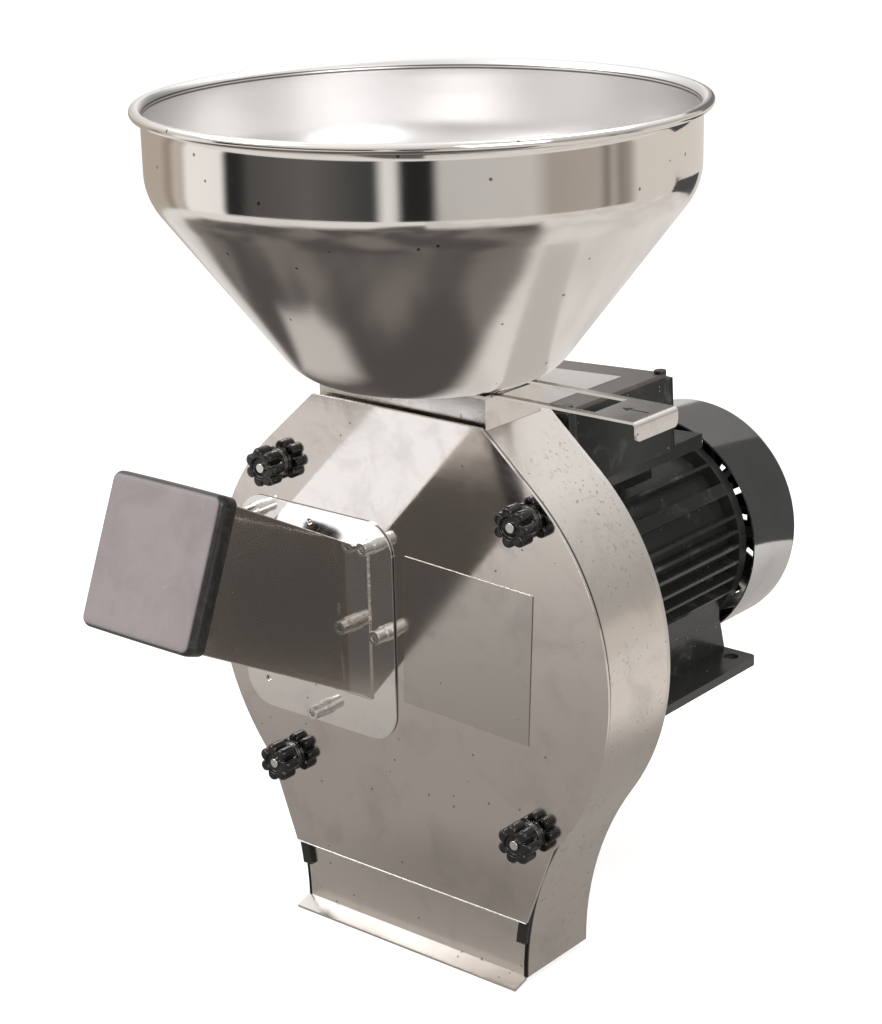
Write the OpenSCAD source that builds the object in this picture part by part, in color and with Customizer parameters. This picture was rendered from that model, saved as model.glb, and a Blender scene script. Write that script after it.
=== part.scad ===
// Electric hammer mill for grain and maize cobs.
// Origin: centre of the four motor foot holes, on the sole plane.
// +Z is up, -Y points to the front cover, +X to the slide's handle.

/* [Motor] */
// Height of the motor axis above the soles
shaft_h = 80; // [78:1:90]
// Foot hole spacing across the motor
foot_hole_dx = 140; // [136:1:146]
// Foot hole spacing along the motor
foot_hole_dy = 90; // [80:1:94]
// Foot hole diameter
foot_hole_d = 10; // [8:0.5:11]
// Distance from the foot holes out to the foot's side edge
foot_edge = 13; // [11:0.5:18]
// Length of each foot
foot_len = 114; // [110:1:115]
// Thickness of the foot plate
foot_t = 6; // [5:0.5:7]
// Radius of the housing below its fins
core_r = 63; // [62.5:0.5:65]
// Radius over the fins
fin_r = 72; // [70:0.5:74]
// Thickness of a fin
fin_t = 2.4; // [1.5:0.1:3]
// Distance from the origin forward to the housing's front end
housing_front = 112; // [108:1:114]
// Distance from the origin back to the housing's rear end
housing_back = 50; // [48:1:54]
// Radius of the fan cover
fan_cover_r = 78.5; // [78:0.5:82]
// Length of the fan cover
fan_cover_len = 54; // [50:1:58]
// Diameter of the shaft in its bearings
shaft_d = 20; // [19.5:0.1:20.5]
// Diameter of the shaft's front end
shaft_end_d = 19; // [18:0.5:19]

/* [Casing] */
// Distance from the origin forward to the cover's face
cover_y = 212; // [211:1:214]
// Depth of the casing, over the cover and the back plate
casing_depth = 66; // [65:1:68]
// Radius of the front cover
cover_r = 152; // [151:0.5:154]
// Width of the cover's flat top
flat_w = 128; // [120:1:134]
// Height of the cover's flat top above the motor axis
flat_h = 146.3; // [144:0.5:150]
// Depth of the cover's bottom edge below the motor axis
cover_drop = 156.1; // [150:0.5:160]
// Width of the cover's bottom edge
cover_foot_w = 185; // [182:1:190]
// How far the cover reaches past the casing all round
cover_lap = 3; // [2:0.5:4]
// Thickness of the casing and cover sheet
sheet_t = 2; // [1.5:0.1:2.5]
// Thickness of the back plate
back_t = 3; // [2.5:0.1:4]
// Thickness of the gasket
gasket_t = 3; // [2:0.5:4]
// Width of the gasket strip
gasket_w = 7; // [6:0.5:8]
// Width of the outlet
outlet_w = 177; // [172:1:180]
// Depth of the outlet's bottom edge below the motor axis
outlet_drop = 196.4; // [192:0.5:200]
// Radius of the bend from the drum into the outlet's side
outlet_bend_r = 200; // [180:5:220]
// Length of the outlet's folded lip
lip_len = 12; // [8:0.5:16]
// Half the sideways distance between the cover studs
stud_dx = 95.5; // [93:0.5:97]
// Half the upright distance between the cover studs
stud_dz = 97.6; // [96:0.2:98.5]
// Diameter of the cover studs
stud_d = 6; // [5:0.5:7]

/* [Knobs] */
// Diameter over the knob's lobes
knob_d = 25; // [22:0.5:28]
// Height of a knob
knob_h = 14.5; // [12:0.5:17]
// Lobes on a knob
knob_lobes = 7; // [5:1:9]
// Diameter of the knob washers
knob_washer_d = 17; // [15:0.5:20]
// Thickness of the knob washers
knob_washer_t = 1.5; // [1:0.1:2]

/* [Hopper] */
// Distance of the hopper's axis behind the cover's face
hopper_set = 31.7; // [31:0.1:33]
// Radius of the hopper's straight wall
hopper_r = 158.4; // [150:0.2:165]
// Height above the base at which the cone and the straight wall would meet in a corner
shoulder_h = 111; // [105:1:125]
// Radius of the bend from the cone into the straight wall
shoulder_bend_r = 36; // [20:1:40]
// Height of the rim bead above the hopper's base
rim_h = 157.5; // [150:1:170]
// Distance of the rim bead's centre outside the wall
bead_out = 3.7; // [2.5:0.1:5]
// Diameter of the rolled rim bead
bead_d = 5; // [4:0.5:6]
// Radius of the hopper's flat base
base_r = 57.7; // [54:0.1:60]
// Radius of the bend from the base into the cone
base_bend_r = 33; // [28:1:40]
// Thickness of the hopper's sheet
hopper_t = 1.2; // [1:0.1:1.6]
// Diameter of the hole that the grain falls through
throat_d = 30; // [24:1:32]

/* [Feed slide] */
// Width of the slide
slide_w = 40; // [38:1:42]
// Thickness of the slide
slide_t = 1.6; // [1.2:0.1:1.8]
// Length of the closed slide left of the hopper's axis
slide_tail = 28; // [24:1:34]
// Distance from the hopper's axis to the window's near end
window_start = 58; // [52:1:60]
// Length of the window
window_len = 73; // [70:1:76]
// Width of the window
window_w = 31; // [28:1:32]
// Length of the handle plate past the window
handle_len = 31; // [26:1:36]
// Height of the handle's turned-down lip
handle_lip = 11; // [8:0.5:13]
// Half the width of the slide housing
housing_half = 63; // [61:0.5:64]
// Depth of the slide housing
housing_depth = 52; // [50:1:54]
// Height of the slide housing above the casing's flat top
housing_h = 18; // [16:0.5:20]

/* [Cob inlet] */
// Distance of the tube's axis left of the motor axis
tube_x = 63; // [60:0.5:66]
// Height of the tube's axis above the motor axis, at the cover
tube_z = 9.1; // [6:0.5:12]
// Width of the tube
tube_w = 81; // [76:1:84]
// Height of the tube, square to its own axis
tube_hgt = 84.8; // [80:1:88]
// Length of the tube along its axis
tube_len = 153; // [140:1:165]
// Angle of the tube above level
tube_a = 27.6; // [24:0.2:31]
// Angle that the tube's mouth leans forward of a square cut
mouth_a = 5.5; // [0:0.5:8]
// Width of the inlet's flange plate
flange_w = 124; // [120:1:128]
// Height of the inlet's flange plate
flange_hgt = 140; // [136:1:144]
// Corner radius of the flange plate
flange_r = 20; // [16:1:24]
// Distance of the flange plate's centre left of the motor axis
flange_x = 66; // [65:0.5:67]
// Height of the flange plate's centre above the motor axis
flange_z = 4.3; // [2:0.5:6]
// Depth of the rubber cap's skirt over the tube
cap_skirt = 11; // [8:1:16]
// Thickness of the rubber cap
cap_t = 3; // [2:0.5:4]

/* [Grinding] */
// Inner radius of the sieve
sieve_r = 125; // [123:0.5:127]
// Diameter of the sieve's holes
sieve_hole_d = 5; // [4:0.5:6]
// Radius of the rotor plates
rotor_plate_r = 84; // [82:1:88]
// Radius of the circle of hammer pins
pin_circle_r = 70; // [68:0.5:72]
// Diameter of the hammer pins
pin_d = 10; // [9:0.5:11]
// Distance from a hammer's pin to its tip
hammer_reach = 45; // [40:1:46]
// Width of a hammer
hammer_w = 22; // [20:1:24]
// Thickness of a hammer
hammer_t = 5; // [4:0.5:6]

/* [Terminal box] */
// Angle that the box is turned round the motor axis
box_turn = 2.7; // [0:0.1:5]
// Half the width of the terminal box
box_half = 80; // [78:0.5:82]
// Length of the terminal box
box_len = 108; // [104:1:110]
// Height of the box's floor above the motor axis
box_z = 88; // [86.5:0.5:89]
// Height of the terminal box below its lid
box_h = 46.3; // [44:0.5:50]
// Distance from the origin forward to the box's front wall
box_front = 142; // [140:0.5:144]
// Thickness of the box's walls
box_wall = 5; // [4:0.5:6]
// Thickness of the box's lid
lid_t = 3; // [2:0.5:4]

/* [Hidden] */
$fn = 96;

// Overrun of a cut past the faces that it opens
cut = 1;
// Running clearance on a pin or shaft
run_gap = 0.05;
// Clearance between fixed round parts that plug together
plug_gap = 0.1;
// Clearance between flat parts that slide
slide_gap = 0.25;
// Clearance of a bolt in its hole
bolt_gap = 0.5;

// Casing, counted forward from the origin as negative y
cover_face = -cover_y;
cover_back = cover_face + sheet_t;
band_front = cover_back + gasket_t;
casing_back = cover_face + casing_depth;
plate_front = casing_back - back_t;
band_r = cover_r - cover_lap;
band_flat_h = flat_h - cover_lap;
band_flat_w = flat_w - cover_lap;
// Angle below level at which the cover's round edge meets its straight foot
cover_corner_a = 42.5;
// Straight pieces that make up the drum's round side and the outlet's bend
drum_steps = 40;
bend_steps = 12;
// Length of the gasket's ends that hang below the cover
gasket_tail = 16;
// Height of the outlet plate's part behind the cover
outlet_lap = 14;
// Droop of the outlet's lip
lip_droop = 15;
// Radius of the shaft's hole in the back plate
shaft_hole_r = 16;
// Rail that carries the sieve
rail_t = 4;
rail_depth = 6;

// Knobs and studs
stud_r = stud_d / 2;
knob_face = cover_face - knob_washer_t - knob_h;
stud_front = knob_face + run_gap * 10;
lobe_r = 3.6;
knob_hub_h = 3;
knob_dish_r = 6.5;
knob_dish_h = 2;
stud_hole_gap = 0.5;

// Feed path
hopper_y = cover_face + hopper_set;
band_top = shaft_h + band_flat_h;
housing_top = band_top + housing_h;
housing_sheet = 2;
channel_h = slide_t + slide_gap * 2;
hopper_z = housing_top + channel_h;
guide_w = 6;
guide_y = slide_w / 2 + slide_gap;
slide_end = window_start + window_len + handle_len;
hopper_screw_r = 2.5;
hopper_screw_head_r = 4.6;
hopper_screw_x = sqrt(pow(base_r - hopper_screw_head_r - plug_gap, 2) - pow(guide_y + guide_w / 2, 2));
hopper_screw_head_h = 2.6;
hopper_screw_len = 9;

// Cob inlet
flange_t = 1.5;
tube_t = 1.5;
cap_gap = 0.3;
cap_round = 6;
tube_foot = cover_face - flange_t;
inlet_screw_r = 2.5;
inlet_head_r = 4.3;
inlet_head_h = 8;
inlet_socket_r = 2.2;
inlet_socket_h = 4;
inlet_collar_r = 5;
inlet_collar_h = 4.5;
inlet_nut_r = 4.6;
inlet_nut_h = 3.5;
spare_hole_r = 2;
// Places of the flange screws and of two spare holes, as shares of the flange's half sizes
inlet_screw_shares = [[-0.74, 0.87], [0.79, 0.81], [0.92, 0.04], [0.065, -0.85], [-0.8, 0.04]];
spare_hole_shares = [[-0.05, 0.87], [-0.71, -0.74]];

// Blank plate on the cover
name_w = 94.5;
name_h = 94;
name_t = 0.6;
name_x = 50.7;
name_z = 9.1;
name_turn = 2.6;

// Grinding parts, from the back plate forward
rotor_rear_gap = 7;
rotor_plate_t = 4;
rotor_rear = plate_front - rotor_rear_gap;
rotor_inner = rotor_rear - rotor_plate_t;
rotor_span = 32;
rotor_front = rotor_inner - rotor_span;
rotor_face = rotor_front - rotor_plate_t;
hub_r = 20;
hub_lap = 1;
hub_rear = rotor_rear + hub_lap * 3;
hub_front = rotor_face - hub_lap;
hammer_mid = (rotor_inner + rotor_front) / 2;
hammer_heel = 9;
pin_r = pin_d / 2;
pin_head_h = 2;
pin_head_r = 7;
spacer_r = 8;
rotor_washer_t = 2;
rotor_washer_r = 13;
rotor_bolt_r = 4;
rotor_bolt_head_r = 7.5;
rotor_bolt_head_h = 4;
rotor_bolt_len = 22;
sieve_t = 1.5;
sieve_rows = 5;
sieve_margin = 7;
// Angles of the sieve's two ends, and between the holes of a row
sieve_start_angle = 155;
sieve_end_angle = 385;
sieve_hole_angle = 7.5;

// Motor, along its axis
flange_disc_r = 74;
flange_disc_t = 8;
neck_r = 58;
bore_r = 59.2;
shield_wall = 12;
spigot_len = 6;
spigot_wall = 5;
bearing_r = 23.5;
bearing_w = 14;
ring_t = 4.1;
ball_r = 2.4;
balls = 9;
bearing_hub_r = 30;
collar_len = 10;
front_bearing_y = casing_back + shield_wall;
rear_bearing_y = housing_back + 2;
rear_disc_t = 8;
rear_hub_end = rear_bearing_y + bearing_w + 3;
shaft_r = shaft_d / 2;
shaft_end_r = shaft_end_d / 2;
rotor_shaft_r = 13;
shield_hole_r = 12;
fan_seat_r = 9;
fan_y = rear_hub_end + 3;
fan_hub_len = 22;
fan_hub_r = 14;
fan_disc_r = 60;
fan_blade_r = 66;
fan_blade_t = 2;
fan_blades = 8;
fan_cover_front = housing_back + rear_disc_t;
fan_cover_t = 1.2;
fan_cover_bend = 5;
fan_cover_back = fan_cover_front + fan_cover_len;
shaft_front = hub_front;
shaft_rear = fan_y + fan_hub_len + 6;
core_len = 100;
core_back = 10;
stator_r = 59;
stator_bore_r = 33;
air_gap = 0.4;
winding_r = 36;
winding_w = 19;
winding_len = 15;
core_ring_r = 30;
core_ring_len = 6;
tie_r = 2.5;
tie_circle_r = 66.5;
tie_head_r = 4.2;
tie_head_h = 4;
tie_angles = [34.5, 145.5, 221.5, 318.5];
tie_rail_w = 9;
// Angles of all ribs in order, tie-bolt strips among them, and the step of the core between them
rib_angles = [-25, -15, -6, 3, 11, 19, 34.5, 50, 130, 145.5, 161, 169, 177, 186, 195, 205, 221.5,
    258, 270, 282, 318.5];
core_step = 4;
flange_bolt_r = 4;
flange_bolt_circle_r = 66;
flange_bolt_head_r = 6.5;
flange_bolt_head_h = 3;
cover_screw_angles = [115, 180, 245, 295];
cover_lug_w = 10;
cover_screw_r = 2;
cover_screw_head_r = 3.6;
cover_screw_head_h = 2.4;
key_w = 6;
key_h = 6;
key_len = 30;

// Motor feet and the housing's pads above them
foot_x = foot_hole_dx / 2 + foot_edge;
foot_inner = 44;
foot_corner_r = 5;
pad_x = 47.5;
pad_w = 19;
pad_z = 28;
wing_t = 7;
wing_slant = 16;

// Terminal box parts, in the box's own turned frame
box_back = box_len - box_front;
saddle_half = 74;
saddle_t = 9;
saddle_neck = 34;
saddle_back = 6;
post_r = 6.5;
post_in = 5.5;
lid_in = 2.5;
lid_side_in = 3;
plate_half = 58;
plate_t = 0.5;
rating_front = 9;
rating_len = 75;
lid_screw_r = 2;
lid_screw_head_r = 3.8;
lid_screw_head_h = 2.2;
lid_screw_len = 14;
block_x = 38;
block_w = 44;
block_d = 24;
block_h = 18;
capacitor_r = 20;
capacitor_len = 80;
capacitor_x = -42;
gland_x = 45;
gland_up = 22;
gland_r = 10;
gland_bore_r = 5;
gland_hex_r = 13;
gland_hex_h = 6;
gland_nose_r = 11;
gland_nose_h = 16;
gland_nut_h = 5;
switch_y = 66;
switch_up = 23;
switch_w = 30;
switch_h = 22;
switch_bezel = 2;
switch_bezel_lap = 2.5;
switch_depth = 14;
switch_wall = 2;
rocker_tilt = 10;
rocker_pivot_r = 2;
rocker_in = 3;
rocker_out = 4;
rocker_deep = 4;
rocker_half = 8.5;

// Motor axis frames: a place at angle a round the axis, a turned solid and a rod along y
module spin(a) translate([0, 0, shaft_h]) rotate([0, -a, 0]) children();
module turned() translate([0, 0, shaft_h]) rotate([-90, 0, 0]) rotate_extrude() children();
module rod_y(r, y0, y1) translate([0, y0, 0]) rotate([-90, 0, 0]) cylinder(r = r, h = y1 - y0);

// A ring with its axis along y, centred on the place it is moved to
module ring_y(r, bore, y0, y1) difference() {
    rod_y(r, y0, y1);
    rod_y(bore, y0 - cut, y1 + cut);
}

// A flat outline drawn in x and z, standing between two places along y
module standing(y0, y1) translate([0, y1, shaft_h]) rotate([90, 0, 0]) linear_extrude(y1 - y0) children();

// A hexagon bolt head or nut with its axis along y
module hex_y(r, y0, y1) translate([0, y0, 0]) rotate([-90, 0, 0]) cylinder(r = r, h = y1 - y0, $fn = 6);

module round_rect(w, h, r) {
    square([w - r * 2, h], center = true);
    square([w, h - r * 2], center = true);
    for (x = [-1, 1], z = [-1, 1]) translate([x * (w / 2 - r), z * (h / 2 - r)]) circle(r = r);
}

// Right half of an outline, as points from the top down, completed with its mirror image
function arc(r, from, to, steps) = [for (i = [0:steps]) let (a = from + (to - from) * i / steps)
    [r * cos(a), r * sin(a)]];
function mirrored(right) = concat(right, [for (i = [len(right) - 1:-1:0]) [-right[i][0], right[i][1]]]);

// Drum's right side: half of the flat top, its tangent and the round down to an angle
function drum_side(r, half, top, to) = concat([[half, top]],
    arc(r, atan2(top, half) - acos(r / norm([half, top])), to, drum_steps));

// Outline of the band: the drum bends outward into the straight sides of the outlet
module band_outline(inset, extra = 0) {
    r = band_r - inset;
    half = outlet_w / 2 - inset;
    bend = outlet_bend_r + inset;
    bend_x = half + bend;
    bend_z = -sqrt(pow(r + bend, 2) - pow(bend_x, 2));
    bend_a = atan2(bend_z, bend_x);
    side = [for (p = arc(bend, 180 + bend_a, 180, bend_steps)) p + [bend_x, bend_z]];
    polygon(mirrored(concat(
        drum_side(r, band_flat_w / 2 - inset / 2, band_flat_h - inset, bend_a),
        [for (i = [1:bend_steps]) side[i]], [[half, -outlet_drop - extra]])));
}

// Outline of the cover: the drum and a foot that narrows to its bottom edge
module cover_outline() polygon(mirrored(concat(
    drum_side(cover_r, flat_w / 2, flat_h, -cover_corner_a), [[cover_foot_w / 2, -cover_drop]])));

module below(z) translate([-cover_r * 2, z - cover_r * 4]) square([cover_r * 4, cover_r * 4]);

// Casing

module casing_band() color("gainsboro") difference() {
    standing(band_front, plate_front) difference() {
        band_outline(0);
        band_outline(sheet_t, cut);
    }
    translate([0, hopper_y, band_top - sheet_t - cut]) cylinder(d = throat_d, h = sheet_t + cut * 2);
}

module back_plate() color("silver") {
    difference() {
        standing(plate_front, casing_back) band_outline(0);
        translate([0, 0, shaft_h]) rod_y(shaft_hole_r, plate_front - cut, casing_back + cut);
        for (i = [0:3]) spin(45 + i * 90) translate([flange_bolt_circle_r, 0, 0])
            rod_y(flange_bolt_r + bolt_gap, plate_front - cut, casing_back + cut);
    }
    intersection() {
        standing(plate_front - rail_depth, plate_front) difference() {
            circle(r = sieve_r + sieve_t + plug_gap + rail_t);
            circle(r = sieve_r + sieve_t + plug_gap);
        }
        standing(plate_front - rail_depth, plate_front) below(0);
    }
}

module outlet_plate() color("lightgrey") {
    standing(band_front, band_front + sheet_t) intersection() {
        band_outline(sheet_t + plug_gap);
        below(-cover_drop + outlet_lap);
    }
    inner = outlet_w / 2 - sheet_t - plug_gap;
    translate([0, band_front, shaft_h - outlet_drop]) rotate([lip_droop, 0, 0]) {
        translate([-outlet_w / 2, -lip_len, -sheet_t / 2]) cube([outlet_w, lip_len, sheet_t]);
        translate([-inner, -cut, -sheet_t / 2]) cube([inner * 2, sheet_t + cut, sheet_t]);
    }
}

module cover_gasket() color("black") {
    standing(cover_back, band_front) difference() {
        band_outline(0);
        difference() {
            band_outline(gasket_w, outlet_drop);
            below(-cover_drop + gasket_w);
        }
        difference() {
            below(-cover_drop);
            difference() {
                band_outline(0);
                band_outline(gasket_w, outlet_drop);
                below(-cover_drop - gasket_tail);
            }
        }
    }
}

module cover_studs() color("silver") for (x = [-1, 1], z = [-1, 1])
    translate([x * stud_dx, 0, shaft_h + z * stud_dz]) rod_y(stud_r, stud_front, plate_front);

// Feed path

module slide_housing() color("lightgrey") {
    y0 = hopper_y - housing_depth / 2;
    difference() {
        translate([-housing_half, y0, band_top])
            cube([housing_half * 2, housing_depth, housing_h]);
        translate([-housing_half + housing_sheet, y0 + housing_sheet, band_top - cut])
            cube([(housing_half - housing_sheet) * 2, housing_depth - housing_sheet * 2,
                housing_h - housing_sheet + cut]);
        translate([0, hopper_y, band_top]) cylinder(d = throat_d, h = housing_h + cut);
        for (x = [-1, 1], y = [-1, 1])
            translate([x * hopper_screw_x, hopper_y + y * (guide_y + guide_w / 2), band_top])
                cylinder(r = hopper_screw_r + run_gap, h = housing_h + cut);
    }
}

module slide_guides() color("silver") for (y = [-1, 1]) difference() {
    translate([-housing_half, hopper_y + y * (guide_y + guide_w / 2) - guide_w / 2, housing_top])
        cube([housing_half * 2, guide_w, channel_h]);
    for (x = [-1, 1]) translate([x * hopper_screw_x, hopper_y + y * (guide_y + guide_w / 2), housing_top - cut])
        cylinder(r = hopper_screw_r + run_gap, h = channel_h + cut * 2);
}

// Slope of the hopper's cone, the arc from its base into the cone and the arc from there into the wall
cone_a = let (dx = hopper_r - base_r, dz = shoulder_h - base_bend_r)
    atan2(dz, dx) + asin(base_bend_r / norm([dx, dz]));
function base_arc(r) = [for (i = [0:8]) let (a = cone_a * i / 8)
    [base_r + r * sin(a), base_bend_r - r * cos(a)]];
function shoulder_arc(r) = [for (p = arc(r, cone_a - 90, 0, 8))
    p + [hopper_r - shoulder_bend_r, shoulder_h + shoulder_bend_r * tan((90 - cone_a) / 2)]];

module hopper() color("gainsboro") translate([0, hopper_y, hopper_z]) difference() {
    union() {
        rotate_extrude() polygon(concat(
            [[throat_d / 2, 0]], base_arc(base_bend_r), shoulder_arc(shoulder_bend_r),
            [[hopper_r, rim_h - bead_out], [hopper_r + bead_out, rim_h - hopper_t],
             [hopper_r + bead_out, rim_h], [hopper_r - hopper_t, rim_h - bead_out]],
            [for (i = [8:-1:0]) shoulder_arc(shoulder_bend_r - hopper_t)[i]],
            [for (i = [8:-1:0]) base_arc(base_bend_r - hopper_t)[i]], [[throat_d / 2, hopper_t]]));
        translate([0, 0, rim_h]) rotate_extrude() translate([hopper_r + bead_out, 0])
            circle(d = bead_d, $fn = 32);
    }
    for (x = [-1, 1], y = [-1, 1]) translate([x * hopper_screw_x, y * (guide_y + guide_w / 2), -cut])
        cylinder(r = hopper_screw_r + run_gap, h = hopper_t + cut * 2);
}

module hopper_screws() color("silver") for (x = [-1, 1], y = [-1, 1])
    translate([x * hopper_screw_x, hopper_y + y * (guide_y + guide_w / 2), hopper_z + hopper_t]) {
        cylinder(r = hopper_screw_head_r, h = hopper_screw_head_h);
        translate([0, 0, -hopper_screw_len]) cylinder(r = hopper_screw_r, h = hopper_screw_len);
    }

module feed_slide() color("gainsboro") translate([0, hopper_y, housing_top + slide_gap]) {
    difference() {
        translate([-slide_tail, -slide_w / 2, 0]) cube([slide_tail + slide_end, slide_w, slide_t]);
        translate([window_start, -window_w / 2, -cut]) cube([window_len, window_w, slide_t + cut * 2]);
    }
    translate([slide_end - slide_t, -slide_w / 2, -handle_lip + slide_t]) cube([slide_t, slide_w, handle_lip]);
}

// Cover

module front_cover() color("silver") difference() {
    standing(cover_face, cover_back) cover_outline();
    tube_opening(cover_face - cut, cover_back + cut);
    for (x = [-1, 1], z = [-1, 1]) translate([x * stud_dx, 0, shaft_h + z * stud_dz])
        rod_y(stud_r + stud_hole_gap, cover_face - cut, cover_back + cut);
    for (s = inlet_screw_shares) at_flange(s) rod_y(inlet_screw_r + plug_gap, cover_face - cut, cover_back + cut);
}

module name_plate() color("lightgrey") translate([name_x, 0, shaft_h + name_z]) rotate([0, name_turn, 0])
    translate([-name_w / 2, cover_face - name_t, -name_h / 2]) cube([name_w, name_t, name_h]);

// A place on the flange plate, given as shares of its half sizes
module at_flange(share) translate([share[0] * flange_w / 2 - flange_x, 0,
    share[1] * flange_hgt / 2 + shaft_h + flange_z]) children();

// The tube's own frame: it runs along -y from the cover's face and is lifted by its angle
module at_tube() translate([-tube_x, tube_foot, shaft_h + tube_z]) rotate([-tube_a, 0, 0]) children();
module tube_bar(grow, from, to) translate([-tube_w / 2 - grow, -to, -tube_hgt / 2 - grow])
    cube([tube_w + grow * 2, to - from, tube_hgt + grow * 2]);
module beyond_mouth(past) translate([0, -tube_len, 0]) rotate([mouth_a, 0, 0])
    translate([-tube_w, -tube_len - past, -tube_hgt]) cube([tube_w * 2, tube_len, tube_hgt * 2]);
module tube_opening(y0, y1) intersection() {
    at_tube() tube_bar(-tube_t, -tube_hgt, tube_hgt);
    translate([-cover_r, y0, 0]) cube([cover_r, y1 - y0, shaft_h + cover_r]);
}

module inlet_flange() color("gainsboro") difference() {
    standing(tube_foot, cover_face) translate([-flange_x, flange_z])
        round_rect(flange_w, flange_hgt, flange_r);
    tube_opening(tube_foot - cut, cover_face + cut);
    for (s = inlet_screw_shares) at_flange(s) rod_y(inlet_screw_r + plug_gap, tube_foot - cut, cover_face + cut);
    for (s = spare_hole_shares) at_flange(s) rod_y(spare_hole_r, tube_foot - cut, cover_face + cut);
}

module inlet_tube() color("silver") difference() {
    at_tube() difference() {
        tube_bar(0, -tube_hgt, tube_len + tube_hgt / 2);
        tube_bar(-tube_t, -tube_hgt - cut, tube_len + tube_hgt);
        beyond_mouth(0);
    }
    translate([-cover_r, tube_foot, -cover_r]) cube([cover_r, tube_len, cover_r * 3]);
}

module inlet_cap() color("dimgray") at_tube() difference() {
    translate([0, -tube_len, 0]) rotate([mouth_a, 0, 0]) translate([0, cap_skirt, 0]) rotate([90, 0, 0])
        linear_extrude(cap_skirt + cap_t + slide_gap)
            round_rect(tube_w + (cap_t + cap_gap) * 2, tube_hgt + (cap_t + cap_gap) * 2, cap_round);
    difference() {
        tube_bar(cap_gap, -tube_hgt, tube_len + tube_hgt / 2);
        beyond_mouth(slide_gap);
    }
}

module inlet_screws() color("silver") for (s = inlet_screw_shares) at_flange(s) {
    difference() {
        union() {
            rod_y(inlet_collar_r, tube_foot - inlet_collar_h, tube_foot);
            rod_y(inlet_head_r, tube_foot - inlet_collar_h - inlet_head_h, tube_foot - inlet_collar_h);
            rod_y(inlet_screw_r, tube_foot - cut, cover_back + inlet_nut_h + cut);
        }
        hex_y(inlet_socket_r, tube_foot - inlet_collar_h - inlet_head_h - cut,
            tube_foot - inlet_collar_h - inlet_head_h + inlet_socket_h);
    }
    difference() {
        hex_y(inlet_nut_r, cover_back, cover_back + inlet_nut_h);
        rod_y(inlet_screw_r + plug_gap, cover_back - cut, cover_back + inlet_nut_h + cut);
    }
}

// Knobs turn on the studs; each has a washer between it and the cover
module at_stud(i) translate([i < 2 ? -stud_dx : stud_dx, 0, shaft_h + (i % 2 == 0 ? stud_dz : -stud_dz)])
    children();

module knob_washer(i) color("silver") at_stud(i)
    ring_y(knob_washer_d / 2, stud_r + run_gap, cover_face - knob_washer_t, cover_face);

module star_knob(i) color("black") at_stud(i) difference() {
    union() {
        rod_y(knob_d / 2 - lobe_r, cover_face - knob_washer_t - knob_hub_h, cover_face - knob_washer_t);
        translate([0, cover_face - knob_washer_t - knob_hub_h, 0]) rotate([90, 0, 0])
            linear_extrude(knob_h - knob_hub_h) {
                circle(r = knob_d / 2 - lobe_r);
                for (k = [1:knob_lobes]) rotate(k * 360 / knob_lobes)
                    translate([knob_d / 2 - lobe_r, 0]) circle(r = lobe_r, $fn = 24);
            }
    }
    rod_y(stud_r + run_gap, knob_face - cut, cover_face);
    rod_y(knob_dish_r, knob_face - cut, knob_face + knob_dish_h);
}

// Grinding parts

module sieve() color("silver") difference() {
    standing(band_front, plate_front) difference() {
        circle(r = sieve_r + sieve_t);
        circle(r = sieve_r);
        polygon([[0, 0], for (a = [sieve_end_angle, 90, sieve_start_angle]) [cos(a), sin(a)] * sieve_r * 2]);
    }
    pitch = (plate_front - band_front - sieve_margin * 2) / (sieve_rows - 1);
    for (row = [0:sieve_rows - 1],
        a = [sieve_start_angle + sieve_hole_angle:sieve_hole_angle:sieve_end_angle - sieve_hole_angle / 2])
        spin(a + (row % 2) * sieve_hole_angle / 2)
            translate([sieve_r - cut, band_front + sieve_margin + row * pitch, 0])
                rotate([0, 90, 0]) cylinder(d = sieve_hole_d, h = sieve_t + cut * 2, $fn = 6);
}

module rotor_hub() color("dimgray") difference() {
    translate([0, 0, shaft_h]) ring_y(hub_r, shaft_end_r + run_gap / 2, hub_front, hub_rear);
    key_slot();
}

module key_slot() translate([-key_w / 2 - plug_gap / 2, hub_front - cut, shaft_h])
    cube([key_w + plug_gap, key_len + cut * 2, shaft_end_r + key_h / 2 + plug_gap / 2]);

module rotor_plates() color("gray") for (y = [rotor_face, rotor_inner]) difference() {
    translate([0, 0, shaft_h]) ring_y(rotor_plate_r, hub_r + run_gap / 2, y, y + rotor_plate_t);
    for (i = [0:3]) spin(i * 90) translate([pin_circle_r, 0, 0])
        rod_y(pin_r + run_gap / 2, y - cut, y + rotor_plate_t + cut);
}

module hammer_pins() color("silver") for (i = [0:3]) spin(i * 90) translate([pin_circle_r, 0, 0]) {
    rod_y(pin_r, rotor_face, rotor_rear + pin_head_h);
    rod_y(pin_head_r, rotor_face - pin_head_h, rotor_face);
    ring_y(pin_head_r, pin_r, rotor_rear, rotor_rear + pin_head_h / 2);
}

module pin_spacers() color("gray") for (i = [0:3]) spin(i * 90) translate([pin_circle_r, 0, 0]) {
    ring_y(spacer_r, pin_r + run_gap, rotor_front, hammer_mid - hammer_t / 2 - slide_gap);
    ring_y(spacer_r, pin_r + run_gap, hammer_mid + hammer_t / 2 + slide_gap, rotor_inner);
}

// Each hammer hangs straight down from its pin
module hammer(i) color("slategray") translate([pin_circle_r * cos(i * 90), 0, shaft_h + pin_circle_r * sin(i * 90)])
    difference() {
        union() {
            rod_y(hammer_w / 2, hammer_mid - hammer_t / 2, hammer_mid + hammer_t / 2);
            translate([-hammer_w / 2, hammer_mid - hammer_t / 2, -hammer_reach])
                cube([hammer_w, hammer_t, hammer_reach]);
        }
        rod_y(pin_r + run_gap, hammer_mid - hammer_t, hammer_mid + hammer_t);
    }

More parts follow.
